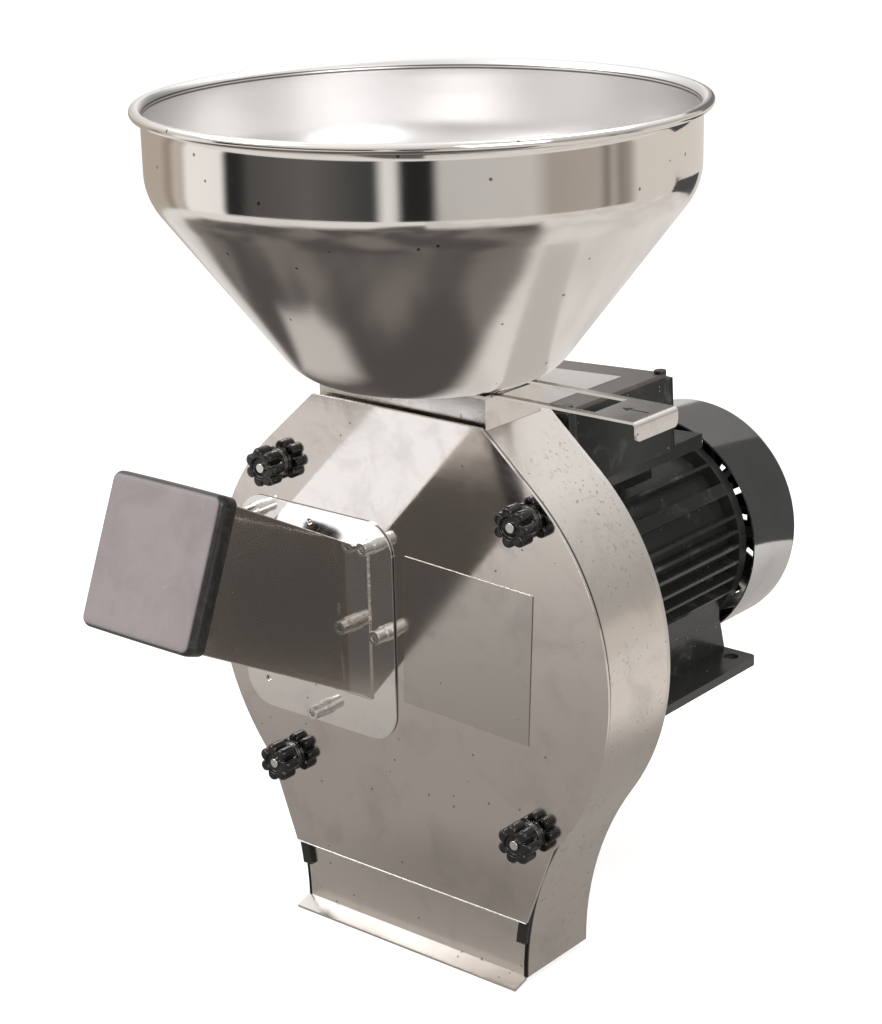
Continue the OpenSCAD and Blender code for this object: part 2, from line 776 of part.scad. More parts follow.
module rotor_bolt() color("silver") translate([0, 0, shaft_h]) {
    hex_y(rotor_bolt_head_r, hub_front - rotor_washer_t - rotor_bolt_head_h, hub_front - rotor_washer_t);
    rod_y(rotor_washer_r, hub_front - rotor_washer_t, hub_front);
    rod_y(rotor_bolt_r, hub_front - cut, hub_front + rotor_bolt_len);
}

// Motor

// Half the width of the rib at a place in the table: a strip for a tie bolt, or a fin
function rib_half(i) = max([for (a = tie_angles) a == rib_angles[i] ? 1 : 0]) > 0 ? tie_rail_w / 2 : fin_t / 2;

// One rib's outline from its root round its tip, and the round core up to the next rib
function rib(i) = let (a = rib_angles[i], h = rib_half(i), last = i == len(rib_angles) - 1,
    to = (last ? rib_angles[0] + 360 : rib_angles[i + 1]) - asin(rib_half(last ? 0 : i + 1) / core_r),
    from = a + asin(h / core_r), steps = ceil((to - from) / core_step))
    concat([for (p = [[sqrt(core_r * core_r - h * h), -h], [fin_r, -h], [fin_r, h]])
            [p[0] * cos(a) - p[1] * sin(a), p[0] * sin(a) + p[1] * cos(a)]],
        [for (k = [0:steps - 1]) let (b = from + (to - from) * k / steps) [core_r * cos(b), core_r * sin(b)]]);

module motor_housing() color("#2b2b2b") difference() {
    union() {
        standing(-housing_front, housing_back)
            polygon([for (i = [0:len(rib_angles) - 1]) for (p = rib(i)) p]);
        for (side = [-1, 1]) translate([side * pad_x - pad_w / 2, -foot_len / 2, pad_z])
            cube([pad_w, foot_len / 2 + housing_back - slide_gap, shaft_h - pad_z - core_r * sin(25)]);
        saddle();
    }
    translate([0, 0, shaft_h]) rod_y(bore_r, -housing_front - cut, housing_back + cut);
    for (a = tie_angles) spin(a) translate([tie_circle_r, 0, 0])
        rod_y(tie_r + plug_gap, -housing_front - cut, housing_back + cut);
}

// Saddle on top of the housing that carries the terminal box
module saddle() spin(box_turn) {
    y0 = slide_gap - housing_front;
    translate([-saddle_half, y0, box_z - saddle_t]) cube([saddle_half * 2, saddle_back - y0, saddle_t]);
    translate([-saddle_neck, y0, 0]) cube([saddle_neck * 2, saddle_back - y0, box_z - saddle_t + slide_gap]);
}

// Each foot's web ends below the rear shield, and a thinner wing goes on to the foot's end
module motor_feet() color("#2b2b2b") for (side = [-1, 1]) difference() {
    web_x = pad_x + pad_w / 2;
    web_end = housing_back - slide_gap;
    union() {
        translate([side * (foot_inner + foot_x) / 2, 0, 0]) linear_extrude(foot_t)
            round_rect(foot_x - foot_inner, foot_len, foot_corner_r);
        translate([0, web_end, 0]) rotate([90, 0, 0]) linear_extrude(foot_len / 2 + web_end)
            polygon([[side * (pad_x - pad_w / 2), pad_z], [side * web_x, pad_z],
                [side * web_x, foot_t / 2], [side * foot_inner, foot_t / 2]]);
        translate([0, foot_len / 2, 0]) rotate([90, 0, 0]) linear_extrude(foot_len / 2)
            polygon([[side * (web_x - wing_t), pad_z - cut], [side * web_x, pad_z - cut],
                [side * web_x, foot_t / 2], [side * (web_x - wing_t * 3 / 2), foot_t / 2]]);
    }
    translate([-foot_x, foot_len / 2, foot_t]) rotate([wing_slant, 0, 0]) cube([foot_x * 2, foot_len, shaft_h]);
    for (y = [-1, 1]) translate([side * foot_hole_dx / 2, y * foot_hole_dy / 2, -cut])
        cylinder(d = foot_hole_d, h = foot_t + cut * 2);
}

module front_shield() color("#303030") difference() {
    turned() polygon([[shield_hole_r, casing_back], [flange_disc_r, casing_back],
        [flange_disc_r, casing_back + flange_disc_t], [neck_r, casing_back + flange_disc_t],
        [neck_r, -housing_front - collar_len], [fin_r, -housing_front - collar_len],
        [fin_r, -housing_front], [bore_r - plug_gap, -housing_front],
        [bore_r - plug_gap, -housing_front + spigot_len],
        [bore_r - spigot_wall, -housing_front + spigot_len],
        [bore_r - spigot_wall, front_bearing_y], [bearing_hub_r, front_bearing_y],
        [bearing_hub_r, front_bearing_y + bearing_w + 2], [bearing_r + run_gap, front_bearing_y + bearing_w + 2],
        [bearing_r + run_gap, front_bearing_y], [shield_hole_r, front_bearing_y]]);
    for (a = tie_angles) spin(a) translate([tie_circle_r, 0, 0])
        rod_y(tie_r + plug_gap, -housing_front - collar_len - cut, -housing_front + cut);
    for (i = [0:3]) spin(45 + i * 90) translate([flange_bolt_circle_r, 0, 0])
        rod_y(flange_bolt_r + plug_gap, casing_back - cut, casing_back + flange_disc_t + cut);
}

module rear_shield() color("#303030") difference() {
    union() {
        turned() polygon([[bore_r - spigot_wall, housing_back - spigot_len],
            [bore_r - plug_gap, housing_back - spigot_len], [bore_r - plug_gap, housing_back],
            [fin_r, housing_back], [fin_r, housing_back + rear_disc_t],
            [bearing_hub_r, housing_back + rear_disc_t], [bearing_hub_r, rear_hub_end],
            [shield_hole_r, rear_hub_end], [shield_hole_r, rear_bearing_y + bearing_w],
            [bearing_r + run_gap, rear_bearing_y + bearing_w], [bearing_r + run_gap, housing_back],
            [bore_r - spigot_wall, housing_back]]);
        for (a = cover_screw_angles) spin(a)
            translate([fin_r - fin_t, housing_back, -cover_lug_w / 2])
                cube([fan_cover_r - fan_cover_t - plug_gap * 3 - fin_r + fin_t,
                    rear_disc_t + cover_lug_w, cover_lug_w]);
    }
    for (a = tie_angles) spin(a) translate([tie_circle_r, 0, 0])
        rod_y(tie_r + plug_gap, housing_back - cut, housing_back + rear_disc_t + cut);
    for (a = cover_screw_angles) at_cover_screw(a)
        cylinder(r = cover_screw_r + plug_gap, h = fan_cover_r);
}

// Rounded corner between the fan cover's wall and its back, on the sheet's outer or inner side
function fan_cover_corner(from, to, inset) = [for (p = arc(fan_cover_bend - inset, from, to, 6))
    p + [fan_cover_r - fan_cover_bend, fan_cover_back - fan_cover_bend]];

// A place on the fan cover's wall, with z pointing outward
module at_cover_screw(a) spin(a) translate([fin_r - fin_t / 2, fan_cover_front + cover_lug_w / 2, 0])
    rotate([0, 90, 0]) children();

module tie_bolts() color("silver") for (a = tie_angles) spin(a) translate([tie_circle_r, 0, 0]) {
    rod_y(tie_r, -housing_front - collar_len, housing_back + rear_disc_t + cut);
    hex_y(tie_head_r, housing_back + rear_disc_t, housing_back + rear_disc_t + tie_head_h);
}

module flange_bolts() color("silver") for (i = [0:3]) spin(45 + i * 90)
    translate([flange_bolt_circle_r, 0, 0]) {
        rod_y(flange_bolt_r, plate_front - cut, casing_back + flange_disc_t);
        hex_y(flange_bolt_head_r, plate_front - flange_bolt_head_h, plate_front);
    }

module stator_core() color("slategray") translate([0, 0, shaft_h])
    ring_y(stator_r, stator_bore_r, core_back - core_len, core_back);

module stator_windings() color("#b87333") turned() {
    translate([winding_r, core_back]) square([winding_w, winding_len]);
    translate([winding_r, core_back - core_len - winding_len]) square([winding_w, winding_len]);
}

module bearing_outer_rings() color("silver") for (y = [front_bearing_y, rear_bearing_y])
    translate([0, 0, shaft_h]) ring_y(bearing_r, bearing_r - ring_t, y, y + bearing_w);

module bearing_inner_sets() color("gainsboro") for (y = [front_bearing_y, rear_bearing_y]) {
    translate([0, 0, shaft_h]) ring_y(shaft_r + ring_t, shaft_r + run_gap / 2, y, y + bearing_w);
    for (k = [1:balls]) spin(k * 360 / balls)
        translate([(bearing_r + shaft_r) / 2, y + bearing_w / 2, 0]) sphere(r = ball_r, $fn = 32);
}

module motor_shaft() color("silver") difference() {
    translate([0, 0, shaft_h]) {
        rod_y(shaft_end_r, shaft_front, front_bearing_y);
        rod_y(shaft_r, casing_back, rear_bearing_y + bearing_w + cut);
        rod_y(rotor_shaft_r, front_bearing_y + bearing_w, rear_bearing_y);
        rod_y(fan_seat_r, rear_bearing_y, shaft_rear);
    }
    translate([0, 0, shaft_h]) rod_y(rotor_bolt_r + run_gap, shaft_front - cut, shaft_front + rotor_bolt_len + cut);
    translate([-key_w / 2, hub_front - cut, shaft_h + shaft_end_r - key_h / 2])
        cube([key_w, key_len + cut, key_h]);
}

module shaft_key() color("gray") translate([-key_w / 2, hub_front, shaft_h + shaft_end_r - key_h / 2])
    cube([key_w, key_len, key_h]);

module rotor_core() color("slategray") translate([0, 0, shaft_h]) {
    ring_y(stator_bore_r - air_gap, rotor_shaft_r, core_back - core_len, core_back);
    ring_y(core_ring_r, rotor_shaft_r, core_back, core_back + core_ring_len);
    ring_y(core_ring_r, rotor_shaft_r, core_back - core_len - core_ring_len, core_back - core_len);
}

module cooling_fan() color("dimgray") difference() {
    union() {
        translate([0, 0, shaft_h]) rod_y(fan_hub_r, fan_y, fan_y + fan_hub_len);
        translate([0, 0, shaft_h]) rod_y(fan_disc_r, fan_y, fan_y + fan_blade_t);
        for (k = [1:fan_blades]) spin(k * 360 / fan_blades)
            translate([fan_hub_r - cut, fan_y, -fan_blade_t / 2])
                cube([fan_blade_r - fan_hub_r, fan_hub_len, fan_blade_t]);
    }
    translate([0, 0, shaft_h]) rod_y(fan_seat_r + run_gap / 2, fan_y - cut, fan_y + fan_hub_len + cut);
}

module fan_clip() color("silver") translate([0, 0, shaft_h])
    ring_y(fan_hub_r, fan_seat_r + run_gap / 2, fan_y + fan_hub_len, fan_y + fan_hub_len + fan_cover_t);

module fan_cover() color("lightgrey") difference() {
    turned() polygon(concat([[0, fan_cover_back]], fan_cover_corner(90, 0, 0), [[fan_cover_r, fan_cover_front],
        [fan_cover_r - fan_cover_t, fan_cover_front]], fan_cover_corner(0, 90, fan_cover_t),
        [[0, fan_cover_back - fan_cover_t]]));
    for (k = [1:12]) spin(k * 30) for (slot_share = [0.25, 0.58])
        translate([fan_cover_r * slot_share, fan_cover_back - fan_cover_t - cut, -fan_blade_t])
            cube([fan_cover_r / 4, fan_cover_t + cut * 2, fan_blade_t * 2]);
    for (a = cover_screw_angles) at_cover_screw(a) cylinder(r = cover_screw_r + plug_gap, h = fan_cover_r);
}

module fan_cover_screws() color("silver") for (a = cover_screw_angles) at_cover_screw(a) {
    cylinder(r = cover_screw_r, h = fan_cover_r - fin_r + fin_t);
    translate([0, 0, fan_cover_r - fin_r + fin_t / 2]) cylinder(r = cover_screw_head_r, h = cover_screw_head_h);
}

// Terminal box, in a frame turned round the motor axis

module box_posts(r, z0, z1) for (x = [-1, 1], y = [post_in - box_front, box_back - post_in])
    translate([x * (box_half - post_in), y, z0]) cylinder(r = r, h = z1 - z0);

module terminal_box() color("#262626") spin(box_turn) difference() {
    union() {
        difference() {
            translate([-box_half, -box_front, box_z]) cube([box_half * 2, box_len, box_h]);
            translate([box_wall - box_half, box_wall - box_front, box_z + box_wall])
                cube([(box_half - box_wall) * 2, box_len - box_wall * 2, box_h]);
        }
        box_posts(post_r, box_z, box_z + box_h);
    }
    translate([gland_x, 0, box_z + gland_up]) rod_y(gland_r + plug_gap, box_back - box_wall - cut, box_back + cut);
    translate([-box_half - cut, -switch_y - switch_w / 2, box_z + switch_up - switch_h / 2])
        cube([box_wall + cut * 2, switch_w, switch_h]);
    box_posts(lid_screw_r + run_gap, box_z + box_h - lid_screw_len, box_z + box_h + cut);
}

module box_lid() color("#6a625c") spin(box_turn) difference() {
    translate([lid_side_in - box_half, lid_in - box_front, box_z + box_h])
        cube([(box_half - lid_side_in) * 2, box_len - lid_in * 2, lid_t]);
    box_posts(lid_screw_r + run_gap, box_z + box_h - cut, box_z + box_h + lid_t + cut);
}

module lid_screws() color("silver") spin(box_turn) {
    box_posts(lid_screw_r, box_z + box_h - lid_screw_len, box_z + box_h + lid_t + lid_screw_head_h);
    box_posts(lid_screw_head_r, box_z + box_h + lid_t, box_z + box_h + lid_t + lid_screw_head_h);
}

module rating_plate() color("lightgrey") spin(box_turn)
    translate([-plate_half, rating_front - box_front, box_z + box_h + lid_t])
        cube([plate_half * 2, rating_len, plate_t]);

module terminal_block() color("white") spin(box_turn)
    translate([block_x - block_w / 2, -box_front / 2 - block_d, box_z + box_wall]) difference() {
        cube([block_w, block_d, block_h]);
        for (k = [0:3], s = [0.25, 0.75]) translate([block_w * (k + 0.5) / 4, block_d * s, block_h / 2])
            cylinder(r = block_w / 16, h = block_h);
    }

module capacitor() color("whitesmoke") spin(box_turn)
    translate([capacitor_x, 0, box_z + box_wall + capacitor_r])
        rod_y(capacitor_r, box_wall * 2 - box_front, box_wall * 2 - box_front + capacitor_len);

module cable_gland() color("black") spin(box_turn) translate([gland_x, 0, box_z + gland_up]) difference() {
    union() {
        rod_y(gland_r, box_back - box_wall - gland_nut_h, box_back + cut);
        hex_y(gland_hex_r, box_back, box_back + gland_hex_h);
        rod_y(gland_nose_r, box_back + gland_hex_h, box_back + gland_hex_h + gland_nose_h);
        hex_y(gland_hex_r, box_back - box_wall - gland_nut_h, box_back - box_wall);
    }
    rod_y(gland_bore_r, box_back - box_wall - gland_nut_h - cut, box_back + gland_hex_h + gland_nose_h + cut);
}

// Switch in the box's left wall; its rocker turns about a pivot along y
module at_switch() spin(box_turn) translate([-box_half, -switch_y, box_z + switch_up]) children();

module switch_frame() color("#1c1c1c") at_switch() difference() {
    union() {
        translate([-switch_bezel, -switch_w / 2 - switch_bezel_lap, -switch_h / 2 - switch_bezel_lap])
            cube([switch_bezel, switch_w + switch_bezel_lap * 2, switch_h + switch_bezel_lap * 2]);
        translate([-cut, -switch_w / 2 + slide_gap, -switch_h / 2 + slide_gap])
            cube([switch_depth + cut, switch_w - slide_gap * 2, switch_h - slide_gap * 2]);
    }
    translate([-switch_bezel - cut, switch_wall * 2 - switch_w / 2, switch_wall / 4 - switch_h / 2 + slide_gap])
        cube([switch_depth + cut, switch_w - switch_wall * 4, switch_h - switch_wall / 2 - slide_gap * 2]);
    translate([rocker_in, 0, 0]) rod_y(rocker_pivot_r + run_gap, switch_wall - switch_w / 2, switch_w / 2 - switch_wall);
}

module switch_rocker() color("#101010") at_switch() translate([rocker_in, 0, 0]) rotate([0, -rocker_tilt, 0]) {
    half = switch_w / 2 - switch_wall * 2 - slide_gap;
    translate([0, half, 0]) rotate([90, 0, 0]) linear_extrude(half * 2)
        polygon([[-rocker_in - rocker_out, -rocker_half], [-rocker_in, 0], [-rocker_in - rocker_out, rocker_half],
            [rocker_deep, rocker_half * 0.8], [rocker_deep, -rocker_half * 0.8]]);
    rod_y(rocker_pivot_r, switch_wall + slide_gap - switch_w / 2, switch_w / 2 - switch_wall - slide_gap);
}

casing_band();
back_plate();
outlet_plate();
cover_gasket();
cover_studs();
slide_housing();
slide_guides();
hopper();
hopper_screws();
sieve();
motor_housing();
motor_feet();
front_shield();
rear_shield();
tie_bolts();
flange_bolts();
stator_core();
stator_windings();
bearing_outer_rings();
fan_cover();
fan_cover_screws();
terminal_box();
box_lid();
lid_screws();
terminal_block();
capacitor();
rating_plate();
cable_gland();
switch_frame();
switch_rocker();
motor_shaft();
shaft_key();
rotor_core();
cooling_fan();
fan_clip();
bearing_inner_sets();
rotor_hub();
rotor_plates();
hammer_pins();
pin_spacers();
rotor_bolt();
hammer(0);  // hammer_1
hammer(1);  // hammer_2
hammer(2);  // hammer_3
hammer(3);  // hammer_4
front_cover();
name_plate();
inlet_flange();
inlet_tube();
inlet_screws();
inlet_cap();
feed_slide();
knob_washer(0);  // knob_washer_1
knob_washer(1);  // knob_washer_2
knob_washer(2);  // knob_washer_3
knob_washer(3);  // knob_washer_4
star_knob(0);  // star_knob_1
star_knob(1);  // star_knob_2
star_knob(2);  // star_knob_3
star_knob(3);  // star_knob_4
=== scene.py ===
import math

import bmesh
import bpy
import numpy as np
from mathutils import Matrix, Vector


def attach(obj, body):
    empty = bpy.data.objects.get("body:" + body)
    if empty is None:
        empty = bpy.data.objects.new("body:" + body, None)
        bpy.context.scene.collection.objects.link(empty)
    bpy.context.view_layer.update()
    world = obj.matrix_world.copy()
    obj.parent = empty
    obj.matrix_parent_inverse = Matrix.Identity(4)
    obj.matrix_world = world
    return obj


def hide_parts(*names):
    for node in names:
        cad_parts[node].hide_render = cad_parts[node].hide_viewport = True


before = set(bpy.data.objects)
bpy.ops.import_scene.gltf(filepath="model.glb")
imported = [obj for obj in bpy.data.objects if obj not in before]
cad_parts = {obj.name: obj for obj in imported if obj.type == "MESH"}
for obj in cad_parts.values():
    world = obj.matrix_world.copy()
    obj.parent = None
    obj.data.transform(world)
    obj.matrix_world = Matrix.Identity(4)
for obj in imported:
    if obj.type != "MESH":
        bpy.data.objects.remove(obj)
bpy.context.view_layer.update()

# Camera
# It stands in front and to the right of the mill, a little above it, where the photograph was taken.
eye = Vector((0.84216, -1.18287, 0.59360))
aim = Vector((-0.0091, -0.1606, 0.1486))
photo_height = 1024
focal_pixels = 2310.2
roll = math.radians(-1.3)
scene = bpy.context.scene
scene.view_settings.view_transform = "Standard"
camera = bpy.data.objects.new("camera", bpy.data.cameras.new("camera"))
camera.data.sensor_width = 36
camera.data.lens = focal_pixels / photo_height * camera.data.sensor_width
camera.location = eye
camera.rotation_mode = "QUATERNION"
level = (aim - eye).to_track_quat("-Z", "Y")
camera.rotation_quaternion = level @ Matrix.Rotation(roll, 3, "Z").to_quaternion()
scene.collection.objects.link(camera)
scene.camera = camera


def fill(tree, made, sockets):
    """Gives each socket named on a node its value, or a link where another node's output is given."""
    for key, value in sockets.items():
        if isinstance(value, bpy.types.NodeSocket):
            tree.links.new(value, made.inputs[key])
        else:
            made.inputs[key].default_value = value
    return made


def put(tree, kind, sockets=None, **settings):
    """One shader node with its settings and its sockets."""
    made = tree.nodes.new("ShaderNode" + kind)
    for key, value in settings.items():
        setattr(made, key, value)
    return fill(tree, made, sockets or {})


def calc(tree, operation, *values, **settings):
    """The result of a maths node."""
    return put(tree, "Math", dict(enumerate(values)), operation=operation, **settings).outputs[0]


def vector_calc(tree, operation, *values):
    """The result of a vector maths node, which is a number for a length or a dot product."""
    made = put(tree, "VectorMath", dict(enumerate(values)), operation=operation)
    return made.outputs["Value" if operation in ("LENGTH", "DOT_PRODUCT") else "Vector"]


def rise(tree, value, start, end, curve="LINEAR"):
    """A value that goes from 0 to 1 while another goes from its start to its end."""
    return put(tree, "MapRange", {0: value, 1: start, 2: end}, interpolation_type=curve).outputs[0]


def ranged(tree, value, low, high):
    """A value from 0 to 1 spread over another range."""
    return put(tree, "MapRange", {0: value, 3: low, 4: high}).outputs[0]


def blend(tree, mask, first, second):
    """A colour that goes from the first to the second with a mask. Each is a socket or three numbers."""
    first, second = ((*c, 1) if isinstance(c, tuple) else c for c in (first, second))
    return put(tree, "Mix", {0: mask, 6: first, 7: second}, data_type="RGBA").outputs[2]


def blank_material(name):
    """A material with an empty tree and its output node."""
    material = bpy.data.materials.new(name)
    material.use_nodes = True
    material.node_tree.nodes.clear()
    return material, material.node_tree, material.node_tree.nodes.new("ShaderNodeOutputMaterial")


# Studio
# A white room: a pale floor just below the outlet, soft lamps, and cards that only reflections see.
mm = 0.001
floor_z, floor_size = -0.1206, 40
floor_mesh = bpy.data.meshes.new("floor")
floor_corners = [(x * floor_size, y * floor_size, floor_z) for x, y in ((-1, -1), (1, -1), (1, 1), (-1, 1))]
floor_mesh.from_pydata(floor_corners, [], [(0, 1, 2, 3)])
floor = bpy.data.objects.new("floor", floor_mesh)
scene.collection.objects.link(floor)
floor_finish, tree, output = blank_material("floor")
path = put(tree, "LightPath").outputs
lit = put(tree, "BsdfDiffuse", {"Color": (0.55, 0.54, 0.53, 1)}).outputs[0]
glow = put(tree, "Emission", {"Color": (1, 1, 1, 1), "Strength": 0.74}).outputs[0]


def ramp(tree, value, stops):
    """A colour that follows a value through stops of (place, brightness, warmth)."""
    made = put(tree, "ValToRGB", {0: value})
    points = made.color_ramp.elements
    for number, (place, shade, warmth) in enumerate(stops):
        point = points[0] if number == 0 else points[-1] if number == 1 else points.new(place)
        if number < 2:
            point.position = place
        point.color = (shade, shade * (1 - warmth * 0.5), shade * (1 - warmth), 1)
    return made.outputs[0]


def patch(tree, place, centre, size, edge):
    """A mask that is 1 inside a round patch of the floor and falls off softly towards its rim."""
    moved = vector_calc(tree, "SUBTRACT", place, (*centre, floor_z))
    scaled = vector_calc(tree, "MULTIPLY", moved, (1 / size[0], 1 / size[1], 1))
    return rise(tree, vector_calc(tree, "LENGTH", scaled), 1.0, 1.0 - edge, "SMOOTHSTEP")


# What a mirror sees of the floor: far off it changes with direction, in degrees round the hopper's axis, and
# closer in it gets darker towards the mill, with three round patches. A stop is (place, brightness, warmth),
# and a patch is (centre, half width and depth, soft share of its radius, colour).
far_bands = [(-180, 0.50, 0.25), (180, 0.50, 0.25), (-172, 0.34, 0.3), (-166, 0.58, 0.2), (-161, 0.55, 0.2),
             (-157, 0.98, 0.05), (-136, 0.95, 0.05), (-133, 0.02, 0), (-126, 0.03, 0), (-121, 0.09, 0.1),
             (-95, 0.13, 0.1), (-69, 0.05, 0), (-65, 0.88, 0.05), (-61, 0.80, 0.05), (-58.5, 0.02, 0),
             (-47, 0.02, 0), (-44, 0.58, 0.06), (-8, 0.62, 0.08), (0, 0.42, 0.22), (22, 0.46, 0.2),
             (26, 0.20, 0.2), (29, 0.50, 0.2), (33, 0.26, 0.2), (38, 0.38, 0.2), (43, 0.74, 0.14),
             (110, 0.74, 0.14), (150, 0.45, 0.25)]
near_stops = [(0.0, 0.38, 0.12), (1.0, 0.84, 0.06), (0.35, 0.42, 0.12), (0.6, 0.56, 0.1), (0.85, 0.78, 0.08)]
near_patches = [((0.52, 0.22), (0.40, 0.38), 0.5, (0.86, 0.81, 0.77)),
                ((0.44, -0.74), (0.40, 0.36), 0.35, (0.13, 0.125, 0.12)),
                ((-0.02, -0.30), (0.16, 0.09), 0.9, (0.30, 0.28, 0.26))]
near_end, far_start = 1.28, 1.36
mill_foot = (0, -0.18, floor_z)
place = put(tree, "NewGeometry").outputs["Position"]
from_axis = vector_calc(tree, "SUBTRACT", place, mill_foot)
x, y, z = put(tree, "SeparateXYZ", {0: from_axis}).outputs
reach = vector_calc(tree, "LENGTH", from_axis)
turn = rise(tree, calc(tree, "ARCTAN2", y, x), -math.pi, math.pi)
far_shade = ramp(tree, turn, [((a + 180) / 360, shade, warmth) for a, shade, warmth in far_bands])
near_shade = ramp(tree, reach, near_stops)
for centre, size, edge, shade in near_patches:
    near_shade = blend(tree, patch(tree, place, centre, size, edge), near_shade, shade)
mirror_shade = blend(tree, rise(tree, reach, near_end, far_start), near_shade, far_shade)
mirror_glow = put(tree, "Emission", {"Color": mirror_shade, "Strength": 1.0}).outputs[0]
seen = put(tree, "AddShader", {0: lit, 1: glow}).outputs[0]
direct = put(tree, "MixShader", {0: path["Is Camera Ray"], 1: lit, 2: seen}).outputs[0]
shown = put(tree, "MixShader", {0: path["Is Glossy Ray"], 1: direct, 2: mirror_glow}).outputs[0]
tree.links.new(shown, output.inputs[0])
floor_finish.cycles.emission_sampling = "NONE"
floor_mesh.materials.append(floor_finish)

world = bpy.data.worlds.new("studio")
scene.world = world
world.use_nodes = True
tree = world.node_tree
tree.nodes.clear()
output = tree.nodes.new("ShaderNodeOutputWorld")
path = put(tree, "LightPath").outputs
direction = put(tree, "SeparateXYZ", {0: put(tree, "TexCoord").outputs["Generated"]}).outputs
height_stops = [(0.0, 0.62, 0.08), (1.0, 1.05, 0.02), (0.15, 0.62, 0.08), (0.38, 0.86, 0.05),
                (0.6, 1.05, 0.02)]
height = ramp(tree, direction[2], height_stops)
side = put(tree, "MapRange", {0: direction[0], 1: -0.3, 2: 0.7, 3: 1.1, 4: 0.75},
           interpolation_type="SMOOTHSTEP").outputs[0]
room = put(tree, "Background", {0: height, 1: side}).outputs[0]
soft = put(tree, "Background", {0: (1.0, 0.985, 0.97, 1), 1: 0.55}).outputs[0]
white = put(tree, "Background", {0: (1, 1, 1, 1), 1: 1.0}).outputs[0]
lights = put(tree, "MixShader", {0: path["Is Glossy Ray"], 1: soft, 2: room}).outputs[0]
shown = put(tree, "MixShader", {0: path["Is Camera Ray"], 1: lights, 2: white}).outputs[0]
tree.links.new(shown, output.inputs[0])


def lamp(name, place, target, size, power, tint=(1, 1, 1)):
    """A square soft lamp that faces a target."""
    data = bpy.data.lights.new(name, "AREA")
    data.size, data.energy, data.color = size, power, tint
    made = bpy.data.objects.new(name, data)
    made.location = place
    made.rotation_mode = "QUATERNION"
    made.rotation_quaternion = (Vector(target) - Vector(place)).to_track_quat("-Z", "Y")
    scene.collection.objects.link(made)


lamp("key_lamp", (-1.3, -1.7, 1.9), (0, -0.15, 0.15), 1.3, 34, (1, 0.985, 0.965))
lamp("fill_lamp", (2.2, -0.9, 1.3), (0, -0.1, 0.1), 1.4, 20)
lamp("top_lamp", (0.3, 0.9, 2.2), (0, -0.1, 0.2), 1.2, 18)


def card(name, corners, shade, patches=0.0, soft=0.0, once=False):
    """A flat card that only mirror reflections see, and only from its front. Darker patches may cloud it, a
    soft share of it fades out towards its edge, and with once set only the first reflection sees it."""
    corners = np.asarray(corners, float)
    count = len(corners)
    inner = corners.mean(0) + (corners - corners.mean(0)) * (1 - soft)
    order = np.arange(count)
    following = np.roll(order, -1)
    border = np.stack([order, following, following + count, order + count], -1).tolist()
    mesh = bpy.data.meshes.new(name)
    mesh.from_pydata(np.concatenate([corners, inner]).tolist(), [],
                     [list(range(count, 2 * count))] + (border if soft else []))
    mesh.attributes.new("fade", "FLOAT", "POINT").data.foreach_set("value", [0.0] * count + [1.0] * count)
    made = bpy.data.objects.new(name, mesh)
    scene.collection.objects.link(made)
    finish, tree, output = blank_material(name)
    glow = put(tree, "Emission", {"Color": (*shade, 1), "Strength": 1.0})
    geometry = put(tree, "NewGeometry").outputs
    if patches:
        cloud = put(tree, "TexNoise", {"Vector": geometry["Position"], "Scale": 14, "Detail": 2}).outputs[0]
        clouded = put(tree, "MapRange", {0: cloud, 1: 0.4, 2: 0.62, 3: 1.0 + patches / 2, 4: 1.0 - patches},
                      interpolation_type="SMOOTHSTEP").outputs[0]
        tree.links.new(clouded, glow.inputs["Strength"])
    fade = put(tree, "Attribute", attribute_name="fade").outputs["Fac"]
    fade = rise(tree, fade, 0.0, 1.0, "SMOOTHSTEP")
    shown = calc(tree, "SUBTRACT", fade, geometry["Backfacing"], use_clamp=True)
    if once:
        first = calc(tree, "LESS_THAN", put(tree, "LightPath").outputs["Glossy Depth"], 1.5)
        shown = calc(tree, "MULTIPLY", shown, first)
    clear = put(tree, "BsdfTransparent").outputs[0]
    mixed = put(tree, "MixShader", {0: shown, 1: clear, 2: glow.outputs[0]}).outputs[0]
    tree.links.new(mixed, output.inputs[0])
    finish.cycles.emission_sampling = "NONE"
    mesh.materials.append(finish)
    made.visible_camera = made.visible_diffuse = made.visible_shadow = made.visible_transmission = False


def upright(y, corners):
    """Corners given as x and z in mm, standing at one place along y."""
    return [(x * mm, y, z * mm) for x, z in corners]


hopper_y = -180.3


def under_hopper(z, corners):
    """Corners in mm from the hopper's axis, counted toward the camera's side and across it, on one level."""
    across, ahead = 0.64, 0.768
    return [((across * c + ahead * r) * mm, (hopper_y - ahead * c + across * r) * mm, z)
            for c, r in corners[::-1]]


